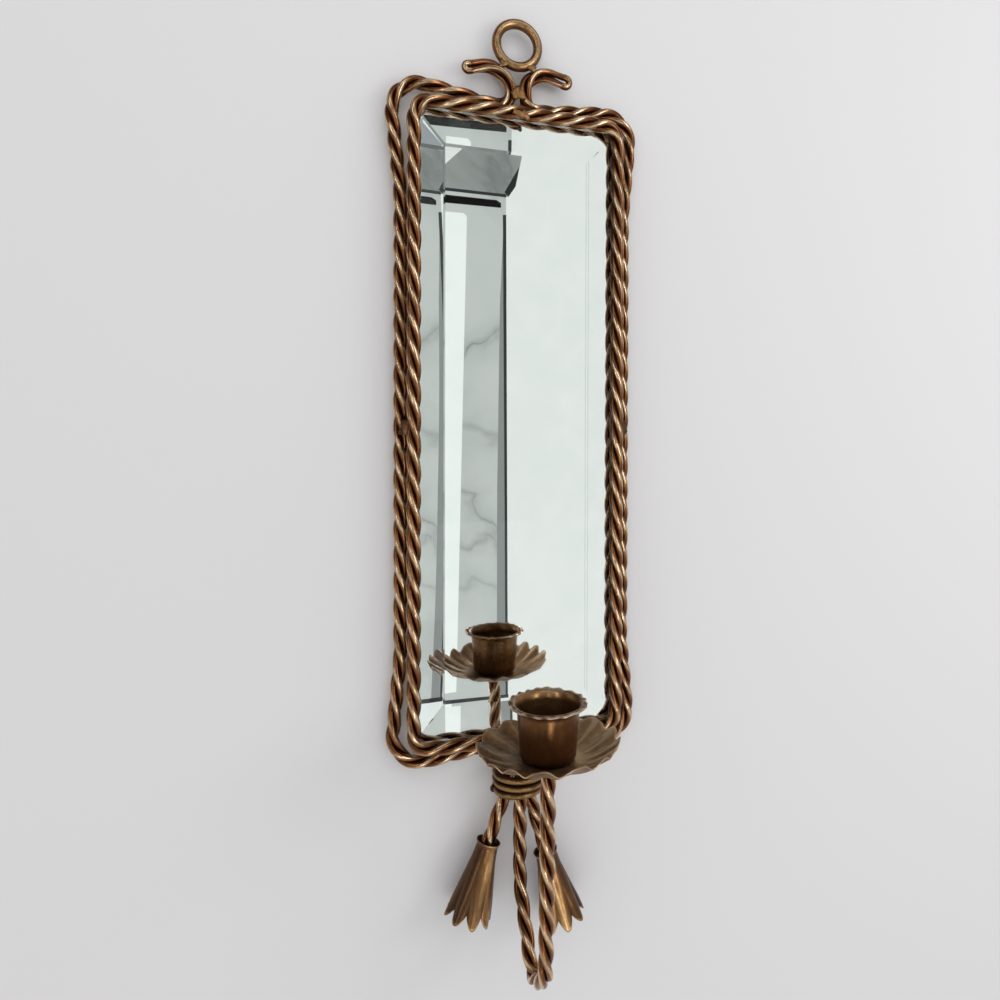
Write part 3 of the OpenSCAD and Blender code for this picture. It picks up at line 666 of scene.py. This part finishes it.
def meshOfRings(name, rings, finish, crests):
    # rings of equal count, one after another, with the last joined to the first
    around, count = len(rings[0]), len(rings)
    faces = []
    for i in range(count):
        here, there = i * around, (i + 1) % count * around
        for j in range(around):
            after = (j + 1) % around
            faces.append((here + j, there + j, there + after, here + after))
    mesh = bpy.data.meshes.new(name)
    mesh.from_pydata([tuple(p * 0.001) for ring in rings for p in ring], [], faces)
    form = bmesh.new()
    form.from_mesh(mesh)
    bmesh.ops.recalc_face_normals(form, faces=form.faces)
    if form.calc_volume(signed=True) < 0:
        bmesh.ops.reverse_faces(form, faces=form.faces)
    form.to_mesh(mesh)
    form.free()
    addCrest(mesh, finish, [c for ring in crests for c in ring])
    return mesh


def drift(x, y, z, scale, seed):
    return noise.noise(Vector((x * scale + seed * 7.3, y * scale - seed * 3.1, z * scale + seed)))


# Drip dish
dish = {
    "radius": 49.5, "height": 10, "pleats": 16, "turn": 5, "lift": 4, "pleatH": 2.5, "pleatR": 1.2, "sheet": 0.9,
    "flat": 22.3, "hole": 2.1, "rimBead": 0.62, "aroundSteps": 384, "wrinkle": 0.5,
}


def pleatPhase(angle):
    # the pleats were pinched by hand, so they aren't evenly spaced
    return dish["pleats"] * (angle - math.radians(dish["turn"])) - 1.4 * math.sin(3 * angle + math.radians(285))


def dishPoint(r, angle, top):
    d = dish
    share = max(0, (r - d["flat"]) / (d["radius"] - d["flat"]))
    lope = pleatPhase(angle)
    pleat = (1 + 0.35 * drift(math.cos(angle), math.sin(angle), 0, 2.2, 4)) * (1 - 0.45 * max(0, math.sin(angle)))
    wave = (math.cos(lope) - 0.2 * math.cos(2 * lope + 0.6)) * pleat
    fine = drift(math.cos(angle), math.sin(angle), 0.2 * share, 9, 9) * d["wrinkle"] * share
    radius = r + d["pleatR"] * share * wave + fine * 0.8
    lift = (d["height"] + d["lift"] * (1 + math.cos(angle + math.pi / 4)) / 2) * share ** 1.6
    z = lift + d["pleatH"] * share ** 1.3 * wave + fine * 1.6
    return Vector((radius * math.cos(angle), radius * math.sin(angle), z if top else z - d["sheet"]))


def dripDish():
    d = dish
    angles = [math.tau * i / d["aroundSteps"] for i in range(d["aroundSteps"])]
    radii = [d["hole"], 8, 15, d["flat"] - 2]
    radii += [d["flat"] + (d["radius"] - d["flat"]) * (k / 22) ** 0.9 for k in range(23)]
    axis = Vector((0, -sconce["armReach"], sconce["dishZ"]))
    rings, crests = [], []
    for r in radii:
        rings.append([axis + dishPoint(r, a, True) for a in angles])
        share = max(0, (r - d["flat"]) / (d["radius"] - d["flat"]))
        ring = []
        for a in angles:
            # a painted highlight along each pleat's ridge, stronger on the right
            creaseHighlight = max(0, math.cos(pleatPhase(a) + 0.5)) ** 9 * min(1, 2.5 * share) * (0.55 + 0.45 * math.cos(a))
            # painted light: brighter to the right and along the rim, as if lit from there; painted shade darkens the
            # dish round the cup where it stands
            paintedLight = 0.45 + (0.27 + 0.07 * math.cos(a)) * math.cos(a) - 0.08 * max(0, 1 - 4 * share)
            paintedLight += 0.2 * max(0, share - 0.93) / 0.07
            ring.append(paintedLight + 0.55 * creaseHighlight + 0.24 * share * drift(math.cos(a), math.sin(a), 0.3 * share, 7, 21))
        crests.append(ring)
    for k in range(1, 6):
        # a rolled edge, a little thicker than the sheet
        bend = math.pi * k / 6
        ring = []
        for a in angles:
            top, below = dishPoint(d["radius"], a, True), dishPoint(d["radius"], a, False)
            middle, outward = (top + below) / 2, Vector((math.cos(a), math.sin(a), 0))
            rise = Vector((0, 0, d["rimBead"] * math.cos(bend)))
            ring.append(axis + middle + outward * d["rimBead"] * math.sin(bend) * 1.2 + rise)
        rings.append(ring)
        # the rolled edge is coloured bright in patches: a painted highlight along the rim
        crests.append([0.68 + 0.6 * drift(math.cos(a), math.sin(a), 0, 5, 2) for a in angles])
    for r in reversed(radii):
        rings.append([axis + dishPoint(r, a, False) for a in angles])
        crests.append([0.3] * len(angles))
    mesh = meshOfRings("dripDish", rings, finishes["dishBronze"], crests)
    keepPiece("dripDish", mesh, "dish_bronze", "drip_dish")


dripDish()

# Candle cup
cup = {
    "socket": 19.3, "sheet": 0.9, "footRound": 5, "flare": 1.8, "mouthW": 3.4, "mouthH": 7, "height": 41, "lip": 27.8,
    "waves": 20, "waveH": 0.5, "hole": 2.1, "floor": 1.9, "lipDrop": 0.7, "boreFoot": 6, "boreTop": 20, "washer": 8,
    "aroundSteps": 288,
}


def arcOf(cx, cz, r, start, stop, count):
    angles = [math.radians(start + (stop - start) * k / count) for k in range(count + 1)]
    return [(cx + r * math.cos(a), cz + r * math.sin(a)) for a in angles]


def cupProfile():
    # from the hole under the cup, up the outside, over the lip and down the inside, as radii and heights
    c = cup
    foot = c["socket"] + c["sheet"]
    mouth, top = foot + c["flare"], c["height"] - c["lipDrop"]
    neck, root = top - c["sheet"] - c["mouthH"], mouth + c["mouthW"]

    def bell(extra):
        angles = [math.pi / 2 * k / 14 for k in range(15)]
        wide, high = c["mouthW"] + extra, c["mouthH"] + extra
        return [(root - wide * math.cos(a), neck + high * math.sin(a)) for a in angles]

    wall = [(foot + (mouth - foot) * k / 12, c["footRound"] + (neck - c["footRound"]) * k / 12) for k in range(1, 12)]
    outside = [(c["hole"], 0), (c["washer"], 0)]
    outside += arcOf(foot - c["footRound"], c["footRound"], c["footRound"], -90, 0, 8) + wall + bell(0)
    lip = [(root + (c["lip"] - root) * k / 5, top - c["sheet"]) for k in range(1, 6)]
    edge = [(c["lip"] + 0.3, top - 0.72), (c["lip"] + 0.42, top - 0.45), (c["lip"] + 0.3, top - 0.16)]
    lipTop = [(root + (c["lip"] - root) * k / 5, top) for k in range(5, 0, -1)]
    inside = bell(c["sheet"])[::-1]
    (r, z), boreTop, boreFoot = inside[-1], c["boreTop"], c["boreFoot"]
    inside += [(r + (c["socket"] - r) * k / 6, z + (boreTop - z) * k / 6) for k in range(1, 7)]
    inside += [(c["socket"], boreTop - (boreTop - boreFoot) * k / 4) for k in range(1, 5)]
    bend = boreFoot - c["floor"]
    inside += arcOf(c["socket"] - bend, boreFoot, bend, 0, -90, 6)[1:]
    inside += [(c["washer"], c["floor"]), (c["hole"], c["floor"])]
    shell = outside + lip + edge
    return shell + lipTop + inside, len(shell), len(shell + lipTop), neck, mouth


def candleCup():
    c = cup
    profile, firstOnTop, firstInside, neck, mouth = cupProfile()
    top = c["height"] - c["lipDrop"]
    axis = Vector((0, -sconce["armReach"], sconce["dishZ"] + 0.1))
    rings, crests = [], []
    for number, (r, z) in enumerate(profile):
        ring, crest = [], []
        inner = number >= firstInside
        share = min(1, max(0, (r - mouth - 1) / (c["lip"] - mouth - 1)))
        for i in range(c["aroundSteps"]):
            a = math.tau * i / c["aroundSteps"]
            lope = c["waves"] * a + 1.2 * math.sin(3 * a + 1)
            wave = math.cos(lope) * (0.75 + 1.1 * drift(math.cos(a), math.sin(a), 0, 2.5, 6))
            slow = drift(math.cos(a), math.sin(a), 0, 1.3, 14)
            rr = r + share ** 2 * (0.42 * wave + 0.8 * slow)
            zz = z + share ** 2 * (c["waveH"] * wave + 0.7 * slow - 0.5)
            dent = 0.3 * drift(rr * math.cos(a), rr * math.sin(a), zz, 0.09, 5) if 5 < z < neck and not inner else 0
            ring.append(axis + Vector(((rr + dent) * math.cos(a), (rr + dent) * math.sin(a), zz)))
            # painted light and shade in the crest: inside, painted shade deep down and a painted highlight near the
            # top, strongest on the back wall; outside, painted shade at the foot where the cup stands in the dish, and
            # painted light on the back, which shows in the mirror
            if inner:
                level = 0.12 + (0.48 + 0.24 * math.sin(a)) * max(0, (z - 16) / (top - 16)) ** 0.8
            else:
                level = 0.05 + 0.42 * min(1, z / 9) + 0.14 * max(0, math.sin(a))
            if firstOnTop - 5 <= number < firstInside - 2:
                # the lip's edge is rubbed bright in patches, and brighter towards the front
                level += max(0, 0.36 - 0.12 * math.sin(a) + 0.9 * drift(math.cos(a), math.sin(a), 0, 4, 8))
            crest.append(min(1, level))
        rings.append(ring)
        crests.append(crest)
    mesh = meshOfRings("candleCup", rings, finishes["cupBronze"], crests)
    keepPiece("candleCup", mesh, "dish_bronze", "candle_cup")


candleCup()

# Tassels
tassel = {
    "length": 60.5, "collar": 10.2, "hem": 19.6, "flutes": 8, "depth": 4.6, "notch": 8.5, "sheet": 0.8,
    "aroundSteps": 192, "insideCrest": 0.25,
    # the angle round each tassel at which its painted highlight lies
    "paintedLight": {-1: math.radians(-68), 1: math.radians(-105)},
}


def tasselRing(z, r, flute, drop, paintedLight):
    ring, crest = [], []
    for i in range(tassel["aroundSteps"]):
        a = math.tau * i / tassel["aroundSteps"]
        swell = abs(math.cos(tassel["flutes"] * a / 2))
        uneven = 1 + 0.7 * drift(math.cos(a), math.sin(a), z * 0.02, 1.8, 12)
        rr = r - flute * uneven * (1 - swell ** 0.8)
        ring.append(Vector((rr * math.cos(a), rr * math.sin(a), z + drop * (1 - swell))))
        fold = 0.4 * (swell ** 0.5 - 0.8) * min(1, flute / 1.5)
        # a painted highlight band down the side at that angle, over darker valleys between the lobes
        crest.append(min(1, 0.36 + 0.56 * max(0, math.cos(a - paintedLight)) ** 3 + fold))
    return ring, crest


def makeTassel(side):
    t = tassel
    neck = t["collar"] - 1.3
    wider = t["hem"] - neck
    # heights below the collar, radii, and shares of the flutes' depth
    keys = [(0, t["collar"], 0), (-1.2, t["collar"] - 0.35, 0), (-3.5, neck, 0),
            (-0.22 * t["length"], neck + 0.1 * wider, 0), (-0.5 * t["length"], neck + 0.43 * wider, 0.08),
            (-0.8 * t["length"], neck + 0.82 * wider, 0.5), (-t["length"], t["hem"], 1)]
    levels = []
    for here, there in zip(keys, keys[1:]):
        count = 2 if here[0] > -3 else 8
        levels += [[p + (q - p) * k / count for p, q in zip(here, there)] for k in range(count)]
    levels.append(keys[-1])
    lean = sconce["leans"][side]
    turn = Matrix.Rotation(-side * lean, 3, "Y") @ Matrix.Rotation(math.radians(-3), 3, "X")
    place = collarPlace(side)
    rings, crests = [], []
    for sheet, walk in ((0, reversed(levels)), (t["sheet"], levels)):
        for z, r, f in walk:
            drop = t["notch"] * max(0, (-z / t["length"] - 0.8) / 0.2) ** 1.5
            ring, crest = tasselRing(z, r - sheet, t["depth"] * f, drop, t["paintedLight"][side])
            edge = 0.35 if z < -0.97 * t["length"] or z > -0.8 else 0
            rings.append([place + turn @ p for p in ring])
            crests.append([t["insideCrest"] if sheet else min(1, c + edge) for c in crest])
    name = sideNames[side]
    mesh = meshOfRings("tassel" + name, rings, finishes["tasselBronze"], crests)
    keepPiece("tassel" + name, mesh, "tassel_bronze", "tassel_" + name.lower())


makeTassel(-1)
makeTassel(1)
print("dish, cup and tassels made")


# Weld metal: uneven drops that run into the rods beside them
def weldLump(name, finish, drops, *nodes):
    # drops are (centre, axis, length, radius, height) in millimetres
    form = bmesh.new()
    for number, (centre, axis, length, radius, height) in enumerate(drops):
        along = Vector(axis).normalized()
        out = (Vector(front) - along * along.dot(Vector(front))).normalized()
        across = out.cross(along)
        ball = bmesh.ops.create_icosphere(form, subdivisions=4, radius=1)["verts"]
        for vert in ball:
            p = vert.co.copy()
            rough = 1 + 0.22 * drift(*p, 1.6, number + len(name)) + 0.09 * drift(*p, 5, number + 3)
            p = Vector((p.x * length / 2, p.y * radius, p.z * height)) * rough
            vert.co = (Vector(centre) + along * p.x + across * p.y + out * p.z) * 0.001
    mesh = bpy.data.meshes.new(name)
    form.to_mesh(mesh)
    form.free()
    depths = [v.co.y for v in mesh.vertices]
    nearest, span = min(depths), max(depths) - min(depths)
    # the crest rises towards the front of each lump, so the front is coloured lighter and the side towards the wall
    # darker
    addCrest(mesh, finishes[finish], [0.95 - 0.7 * (y - nearest) / span for y in depths])
    keepPiece(name, mesh, "weld_metal", *nodes)


def weldPlaces():
    # each drop has its centre, its long direction, its length, half its width and how far it stands out
    k = sconce
    meet = math.atan2(-k["curlZ"], k["curlX"])
    reach = k["ringRadius"] + k["ringRod"] + 0.4
    ringDrops = []
    for side in (-1, 1):
        x, z = side * reach * math.cos(meet), -reach * math.sin(meet)
        along = (side * math.sin(meet), 0, -math.cos(meet))
        ringDrops.append(((x, -2.4, z), along, 13, 2.0, 1.7))
        ringDrops.append(((x + side * 1.5, -2.6, z + 1.2), (side, 0, 0.4), 6, 1.6, 1.2))
    weldLump("ringWelds", "weldMetal", ringDrops, "ring_welds")
    middle = k["curlZ"] - 3.6
    weldLump("finialWeld", "weldMetal", [
        ((-1.6, -5.0, middle + 0.6), (0.35, 0, 1), 12, 3.0, 1.9),
        ((2.6, -5.2, middle - 0.2), (-0.5, 0, 1), 10, 2.4, 1.6),
        ((0.2, -5.5, middle - 1.6), (1, 0, -0.25), 13, 2.4, 1.5),
        ((-3.8, -5.6, middle + 0.4), (0.2, 0, 1), 7, 1.8, 1.2)], "finial_weld")
    out = k["ropeSize"] / 2 + 0.4
    y, z = k["innerY"] - out * math.cos(0.61), k["innerTop"] - out * math.sin(0.61)
    weldLump("topWeld", "weldMetal", [
        ((-1.5, y, z + 0.6), (1, 0, -0.35), 12, 2.7, 1.9),
        ((3.2, y + 0.2, z - 0.2), (0.8, 0, -0.7), 8, 2.3, 1.7),
        ((-4.2, y + 0.4, z + 1.6), (1, 0, 0.2), 7, 1.8, 1.4),
        ((1.0, y - 0.4, z + 1.4), (0.6, 0, 0.8), 6, 1.9, 1.3)], "top_weld")
    middle = (k["innerTop"] + k["innerBottom"]) / 2
    for side, name in sideNames.items():
        x = side * (k["innerX"] + 5.4)
        y = k["innerY"] + 2.2
        weldLump("sideWeld" + name, "sideWeld", [
            ((x, y, middle), (0.3, 0.2, 1), 14, 3.9, 2.6),
            ((x + side * 3.2, y + 1.8, middle - 3.4), (0.7, 0.2, 1), 8, 2.6, 2.0),
            ((x - side * 2.0, y - 1.0, middle + 3.0), (1, 0.2, 0.4), 7, 2.2, 1.7),
            ((x + side * 2.4, y + 1.2, middle + 2.6), (0.4, 0, 1), 6, 2.1, 2.2)], "side_weld_" + name.lower())


weldPlaces()


# Mirror: the solid glass keeps its bevel, and a silver film lies behind it
def dress(node, finish):
    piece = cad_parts[node]
    piece.data.materials.clear()
    piece.data.materials.append(finish)


dress("mirror_glass", glassFinish())
dress("backing_board", woodFinish())
dress("mirror_tray", steelFinish("traySteel", (0.16, 0.15, 0.14), (0.30, 0.29, 0.27), (0.16, 0.07, 0.03)))
dress("cup_screw", steelFinish("screwBrass", (0.20, 0.13, 0.05), (0.38, 0.26, 0.11), (0.08, 0.04, 0.02)))
dress("arm_boss", plainFinishes["cupBronze"])
dress("tassel_plug_left", plainFinishes["darkBronze"])
dress("tassel_plug_right", plainFinishes["darkBronze"])


def silverFilm():
    low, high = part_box("mirror_glass")
    film, margin = glass["film"], 2 * glass["filmMargin"]
    mesh = bpy.data.meshes.new("silverFilm")
    form = bmesh.new()
    bmesh.ops.create_cube(form, size=1)
    size = (high.x - low.x - margin, film, high.z - low.z - margin)
    middle = ((low.x + high.x) / 2, high.y + film, (low.z + high.z) / 2)
    for vert in form.verts:
        vert.co = Vector([c * s + m for c, s, m in zip(vert.co, size, middle)])
    form.to_mesh(mesh)
    form.free()
    mesh.materials.append(silverFinish())
    keepPiece("silverFilm", mesh, "mirror_glass")


silverFilm()
print("mirror silvered")

# Wall and floor. They are seen from their own side only, so that the back of the sconce can be looked at.
studio = {
    "wall": (0.66, 0.653, 0.658), "floor": (0.68, 0.675, 0.67), "wallY": 0.0087, "floorZ": -1.15, "size": 6,
    "ambient": 0.93, "background": (0.80, 0.80, 0.80), "room": (0.07, 0.42), "roomSpan": (-0.35, 0.75),
    "lampAim": (0, 0, -0.36), "stoneScale": 1.9, "stonePatches": 3.1, "stonePatchShare": 0.05,
}


def seenFrom(tree, shader, kinds, inMirror=True):
    # shows the shader to these kinds of ray, on the front of the face, and is clear to the rest
    path = addNode(tree, "ShaderNodeLightPath").outputs
    back = addNode(tree, "ShaderNodeNewGeometry").outputs["Backfacing"]
    seen = path[kinds[0]]
    for kind in kinds[1:]:
        seen = mathNode(tree, "MAXIMUM", seen, path[kind])
    if not inMirror:
        seen = mathNode(tree, "MULTIPLY", seen, mathNode(tree, "SUBTRACT", 1.0, path["Is Transmission Ray"]))
    shown = mathNode(tree, "MULTIPLY", seen, mathNode(tree, "SUBTRACT", 1.0, back))
    clear = addNode(tree, "ShaderNodeBsdfTransparent").outputs[0]
    mix = addNode(tree, "ShaderNodeMixShader", {0: shown, 1: clear, 2: shader}).outputs[0]
    tree.links.new(mix, tree.nodes["Material Output"].inputs["Surface"])


def stageFace(name, corners, colour, kinds, glow=False, veins=None, inMirror=True):
    material, tree, shader = newMaterial(name)
    tree.nodes.remove(shader)
    if veins:
        where = ownPlace(tree)
        marble = noiseAt(tree, where, studio["stoneScale"], 6.0, 0.5, 0.7)
        crack = mathNode(tree, "ABSOLUTE", mathNode(tree, "SUBTRACT", marble, 0.5))
        patchy = noiseAt(tree, where, studio["stonePatches"], 3)
        patchy = mathNode(tree, "MULTIPLY", patchy, studio["stonePatchShare"])
        tint = ramp(tree, mathNode(tree, "ADD", crack, patchy), veins)
    else:
        tint = (*colour, 1)
    if glow:
        surface = addNode(tree, "ShaderNodeEmission", {"Color": tint, "Strength": 1.0}).outputs[0]
    else:
        surface = addNode(tree, "ShaderNodeBsdfDiffuse", {"Color": tint}).outputs[0]
    seenFrom(tree, surface, kinds, inMirror)
    mesh = bpy.data.meshes.new(name)
    mesh.from_pydata([tuple(c) for c in corners], [], [tuple(range(len(corners)))])
    mesh.materials.append(material)
    obj = bpy.data.objects.new(name, mesh)
    scene.collection.objects.link(obj)


s, wallY, floorZ = studio["size"], studio["wallY"], studio["floorZ"]
allSeen = ("Is Camera Ray", "Is Glossy Ray", "Is Transmission Ray")
stageFace("wall", [(-s, wallY, floorZ), (s, wallY, floorZ), (s, wallY, s), (-s, wallY, s)], studio["wall"], allSeen)
stageFace("floor", [(-s, -s, floorZ), (s, -s, floorZ), (s, wallY, floorZ), (-s, wallY, floorZ)],
          studio["floor"], allSeen, inMirror=False)

# What the mirror looks out on: flat glowing boards across the room, seen only through the glass, with the room's light
# and shade painted into their colours
roomY = -1.6
# where along the noise each stone colour sits
stoneVeins = [
    (0.018, (0.22, 0.24, 0.235)), (0.027, (0.42, 0.445, 0.435)),
    (0.06, (0.53, 0.56, 0.545)), (0.16, (0.59, 0.62, 0.605)),
]
shelfVeins = [(0.02, (0.19, 0.205, 0.20)), (0.05, (0.28, 0.30, 0.29)), (0.18, (0.36, 0.38, 0.37))]
roomBoards = {
    "paleWallBoard": {
        "near": 0, "colour": (0.87, 0.90, 0.882), "outline": [(0.344, 1.6), (2.4, 1.6), (2.4, -1.2), (0.344, -1.2)]},
    "stoneBoard": {
        "near": 0.001, "veins": stoneVeins,
        "outline": [(-0.5, 0.443), (0.344, 0.443), (0.354, -1.167), (-0.5, -1.168)]},
    "upperBoard": {
        "near": 0.001, "colour": (0.33, 0.36, 0.385),
        "outline": [(-0.5, 1.6), (0.357, 1.6), (0.357, 0.584), (-0.5, 0.59)]},
    "shelfBoard": {
        "near": 0.002, "veins": shelfVeins,
        "outline": [(-0.5, 0.59), (0.397, 0.582), (0.375, 0.479), (0.352, 0.444), (-0.5, 0.443)]},
    "shelfEndBoard": {
        "near": 0.004, "colour": (0.02, 0.024, 0.024),
        "outline": [(0.338, 0.456), (0.388, 0.545), (0.375, 0.479), (0.352, 0.444)]},
    "shelfEdgeBoard": {
        "near": 0.004, "colour": (0.13, 0.145, 0.145),
        "outline": [(-0.5, 0.597), (0.384, 0.594), (0.384, 0.582), (-0.5, 0.586)]},
    "whiteCornerBoard": {
        "near": 0.005, "colour": (0.83, 0.86, 0.85),
        "outline": [(0.143, 0.583), (0.206, 0.581), (0.148, 0.522), (0.143, 0.523)]},
    "shelfShadeBoard": {
        "near": 0.006, "colour": (0.03, 0.035, 0.036),
        "outline": [(-0.5, 0.452), (0.344, 0.450), (0.344, 0.440), (-0.5, 0.442)]},
    "darkJointBoard": {
        "near": 0.006, "colour": (0.0, 0.0, 0.0),
        "outline": [(-0.5, 0.430), (0.312, 0.428), (0.327, 0.420), (0.327, 0.405), (-0.5, 0.396)]},
    "brightStripBoard": {
        "near": 0.004, "colour": (0.95, 1.0, 0.975),
        "outline": [(0.142, 0.377), (0.208, 0.377), (0.218, 0.367), (0.186, -1.132), (0.142, -1.134)]},
    "edgeShadeBoard": {
        "near": 0.005, "colour": (0.03, 0.034, 0.034),
        "outline": [(0.333, 0.384), (0.344, 0.385), (0.352, -1.167), (0.345, -1.167)]},
    "edgeBandBoard": {
        "near": 0.0045, "colour": (0.27, 0.29, 0.285),
        "outline": [(0.336, 0.37), (0.342, 0.37), (0.348, -1.16), (0.316, -1.16), (0.316, -0.5), (0.324, 0.1)]},
    "footJointBoard": {
        "near": 0.006, "colour": (0.010, 0.011, 0.013),
        "outline": [(-0.5, -1.147), (0.354, -1.157), (0.354, -1.171), (-0.5, -1.169)]},
    "floorBoard": {
        "near": 0.003, "colour": (0.86, 0.90, 0.90),
        "outline": [(-0.5, -1.166), (0.354, -1.169), (2.4, -1.2), (2.4, -2.4), (-0.5, -2.4)]},
}
for name, board in roomBoards.items():
    y = roomY + board["near"]
    stageFace(name, [(x, y, z) for x, z in board["outline"]], board.get("colour"),
              ("Is Transmission Ray",), glow=True, veins=board.get("veins"))

world = bpy.data.worlds.new("studioLight")
world.use_nodes = True
scene.world = world
worldTree = world.node_tree
worldTree.nodes.clear()
rays = addNode(worldTree, "ShaderNodeLightPath").outputs
shown = mathNode(worldTree, "MAXIMUM", rays["Is Glossy Ray"], rays["Is Transmission Ray"])
shown = mathNode(worldTree, "MAXIMUM", rays["Is Camera Ray"], shown)
soft = addNode(worldTree, "ShaderNodeBackground", {"Color": (1, 1, 1, 1), "Strength": studio["ambient"]}).outputs[0]
pale = addNode(worldTree, "ShaderNodeBackground", {"Color": (*studio["background"], 1), "Strength": 1.0}).outputs[0]
# metal sees a room that is dim on the left and bright on the right
heading = addNode(worldTree, "ShaderNodeTexCoord").outputs["Generated"]
across = addNode(worldTree, "ShaderNodeSeparateXYZ", {0: heading}).outputs[0]
level = spread(worldTree, across, studio["roomSpan"], studio["room"])
room = addNode(worldTree, "ShaderNodeBackground", {"Color": (1, 0.985, 0.96, 1), "Strength": level}).outputs[0]
pale = addNode(worldTree, "ShaderNodeMixShader", {0: rays["Is Glossy Ray"], 1: pale, 2: room}).outputs[0]
blend = addNode(worldTree, "ShaderNodeMixShader", {0: shown, 1: soft, 2: pale}).outputs[0]
addNode(worldTree, "ShaderNodeOutputWorld", {"Surface": blend})

lamps = {
    "keyLamp": {"place": (0.80, -1.5, -0.2), "size": (0.22, 1.5), "watts": 9, "colour": (1, 0.985, 0.96)},
    "topLamp": {"place": (0.1, -1.0, 0.95), "size": (1.5, 0.25), "watts": 2.9,
                "colour": (1, 0.99, 0.98), "onWall": True},
    "frontLamp": {"place": (-0.45, -1.5, 0.0), "size": (0.12, 0.9), "watts": 2, "colour": (1, 0.98, 0.95)},
    "lowLamp": {"place": (-0.08, -0.9, -0.96), "size": (0.08, 0.16), "watts": 0.8, "colour": (1, 0.97, 0.92)},
    "leftLamp": {"place": (-1.2, -1.1, 0.1), "size": (0.16, 1.6), "watts": 5.5, "colour": (0.97, 0.985, 1)},
    "sideLamp": {"place": (1.1, -0.9, -0.1), "size": (0.5, 0.5), "watts": 3.5,
                 "colour": (1, 1, 1), "onWall": True, "onMetal": False},
    "backLamp": {"place": (0.6, 1.6, 0.6), "size": (1.2, 1.2), "watts": 5, "colour": (1, 1, 1), "onWall": True},
}
aim = Vector(studio["lampAim"])
for name, lamp in lamps.items():
    data = bpy.data.lights.new(name, "AREA")
    data.shape = "RECTANGLE"
    data.size, data.size_y = lamp["size"]
    data.energy = lamp["watts"]
    data.color = lamp["colour"]
    obj = bpy.data.objects.new(name, data)
    obj.location = lamp["place"]
    obj.rotation_euler = (aim - Vector(lamp["place"])).to_track_quat("-Z", "Y").to_euler()
    # metal shows the lamps, the mirror doesn't, and some of them leave the matt wall to the soft light
    obj.visible_transmission = False
    obj.visible_diffuse = lamp.get("onWall", False)
    obj.visible_glossy = lamp.get("onMetal", True)
    scene.collection.objects.link(obj)
scene.view_settings.view_transform = "Standard"
print("studio lit")
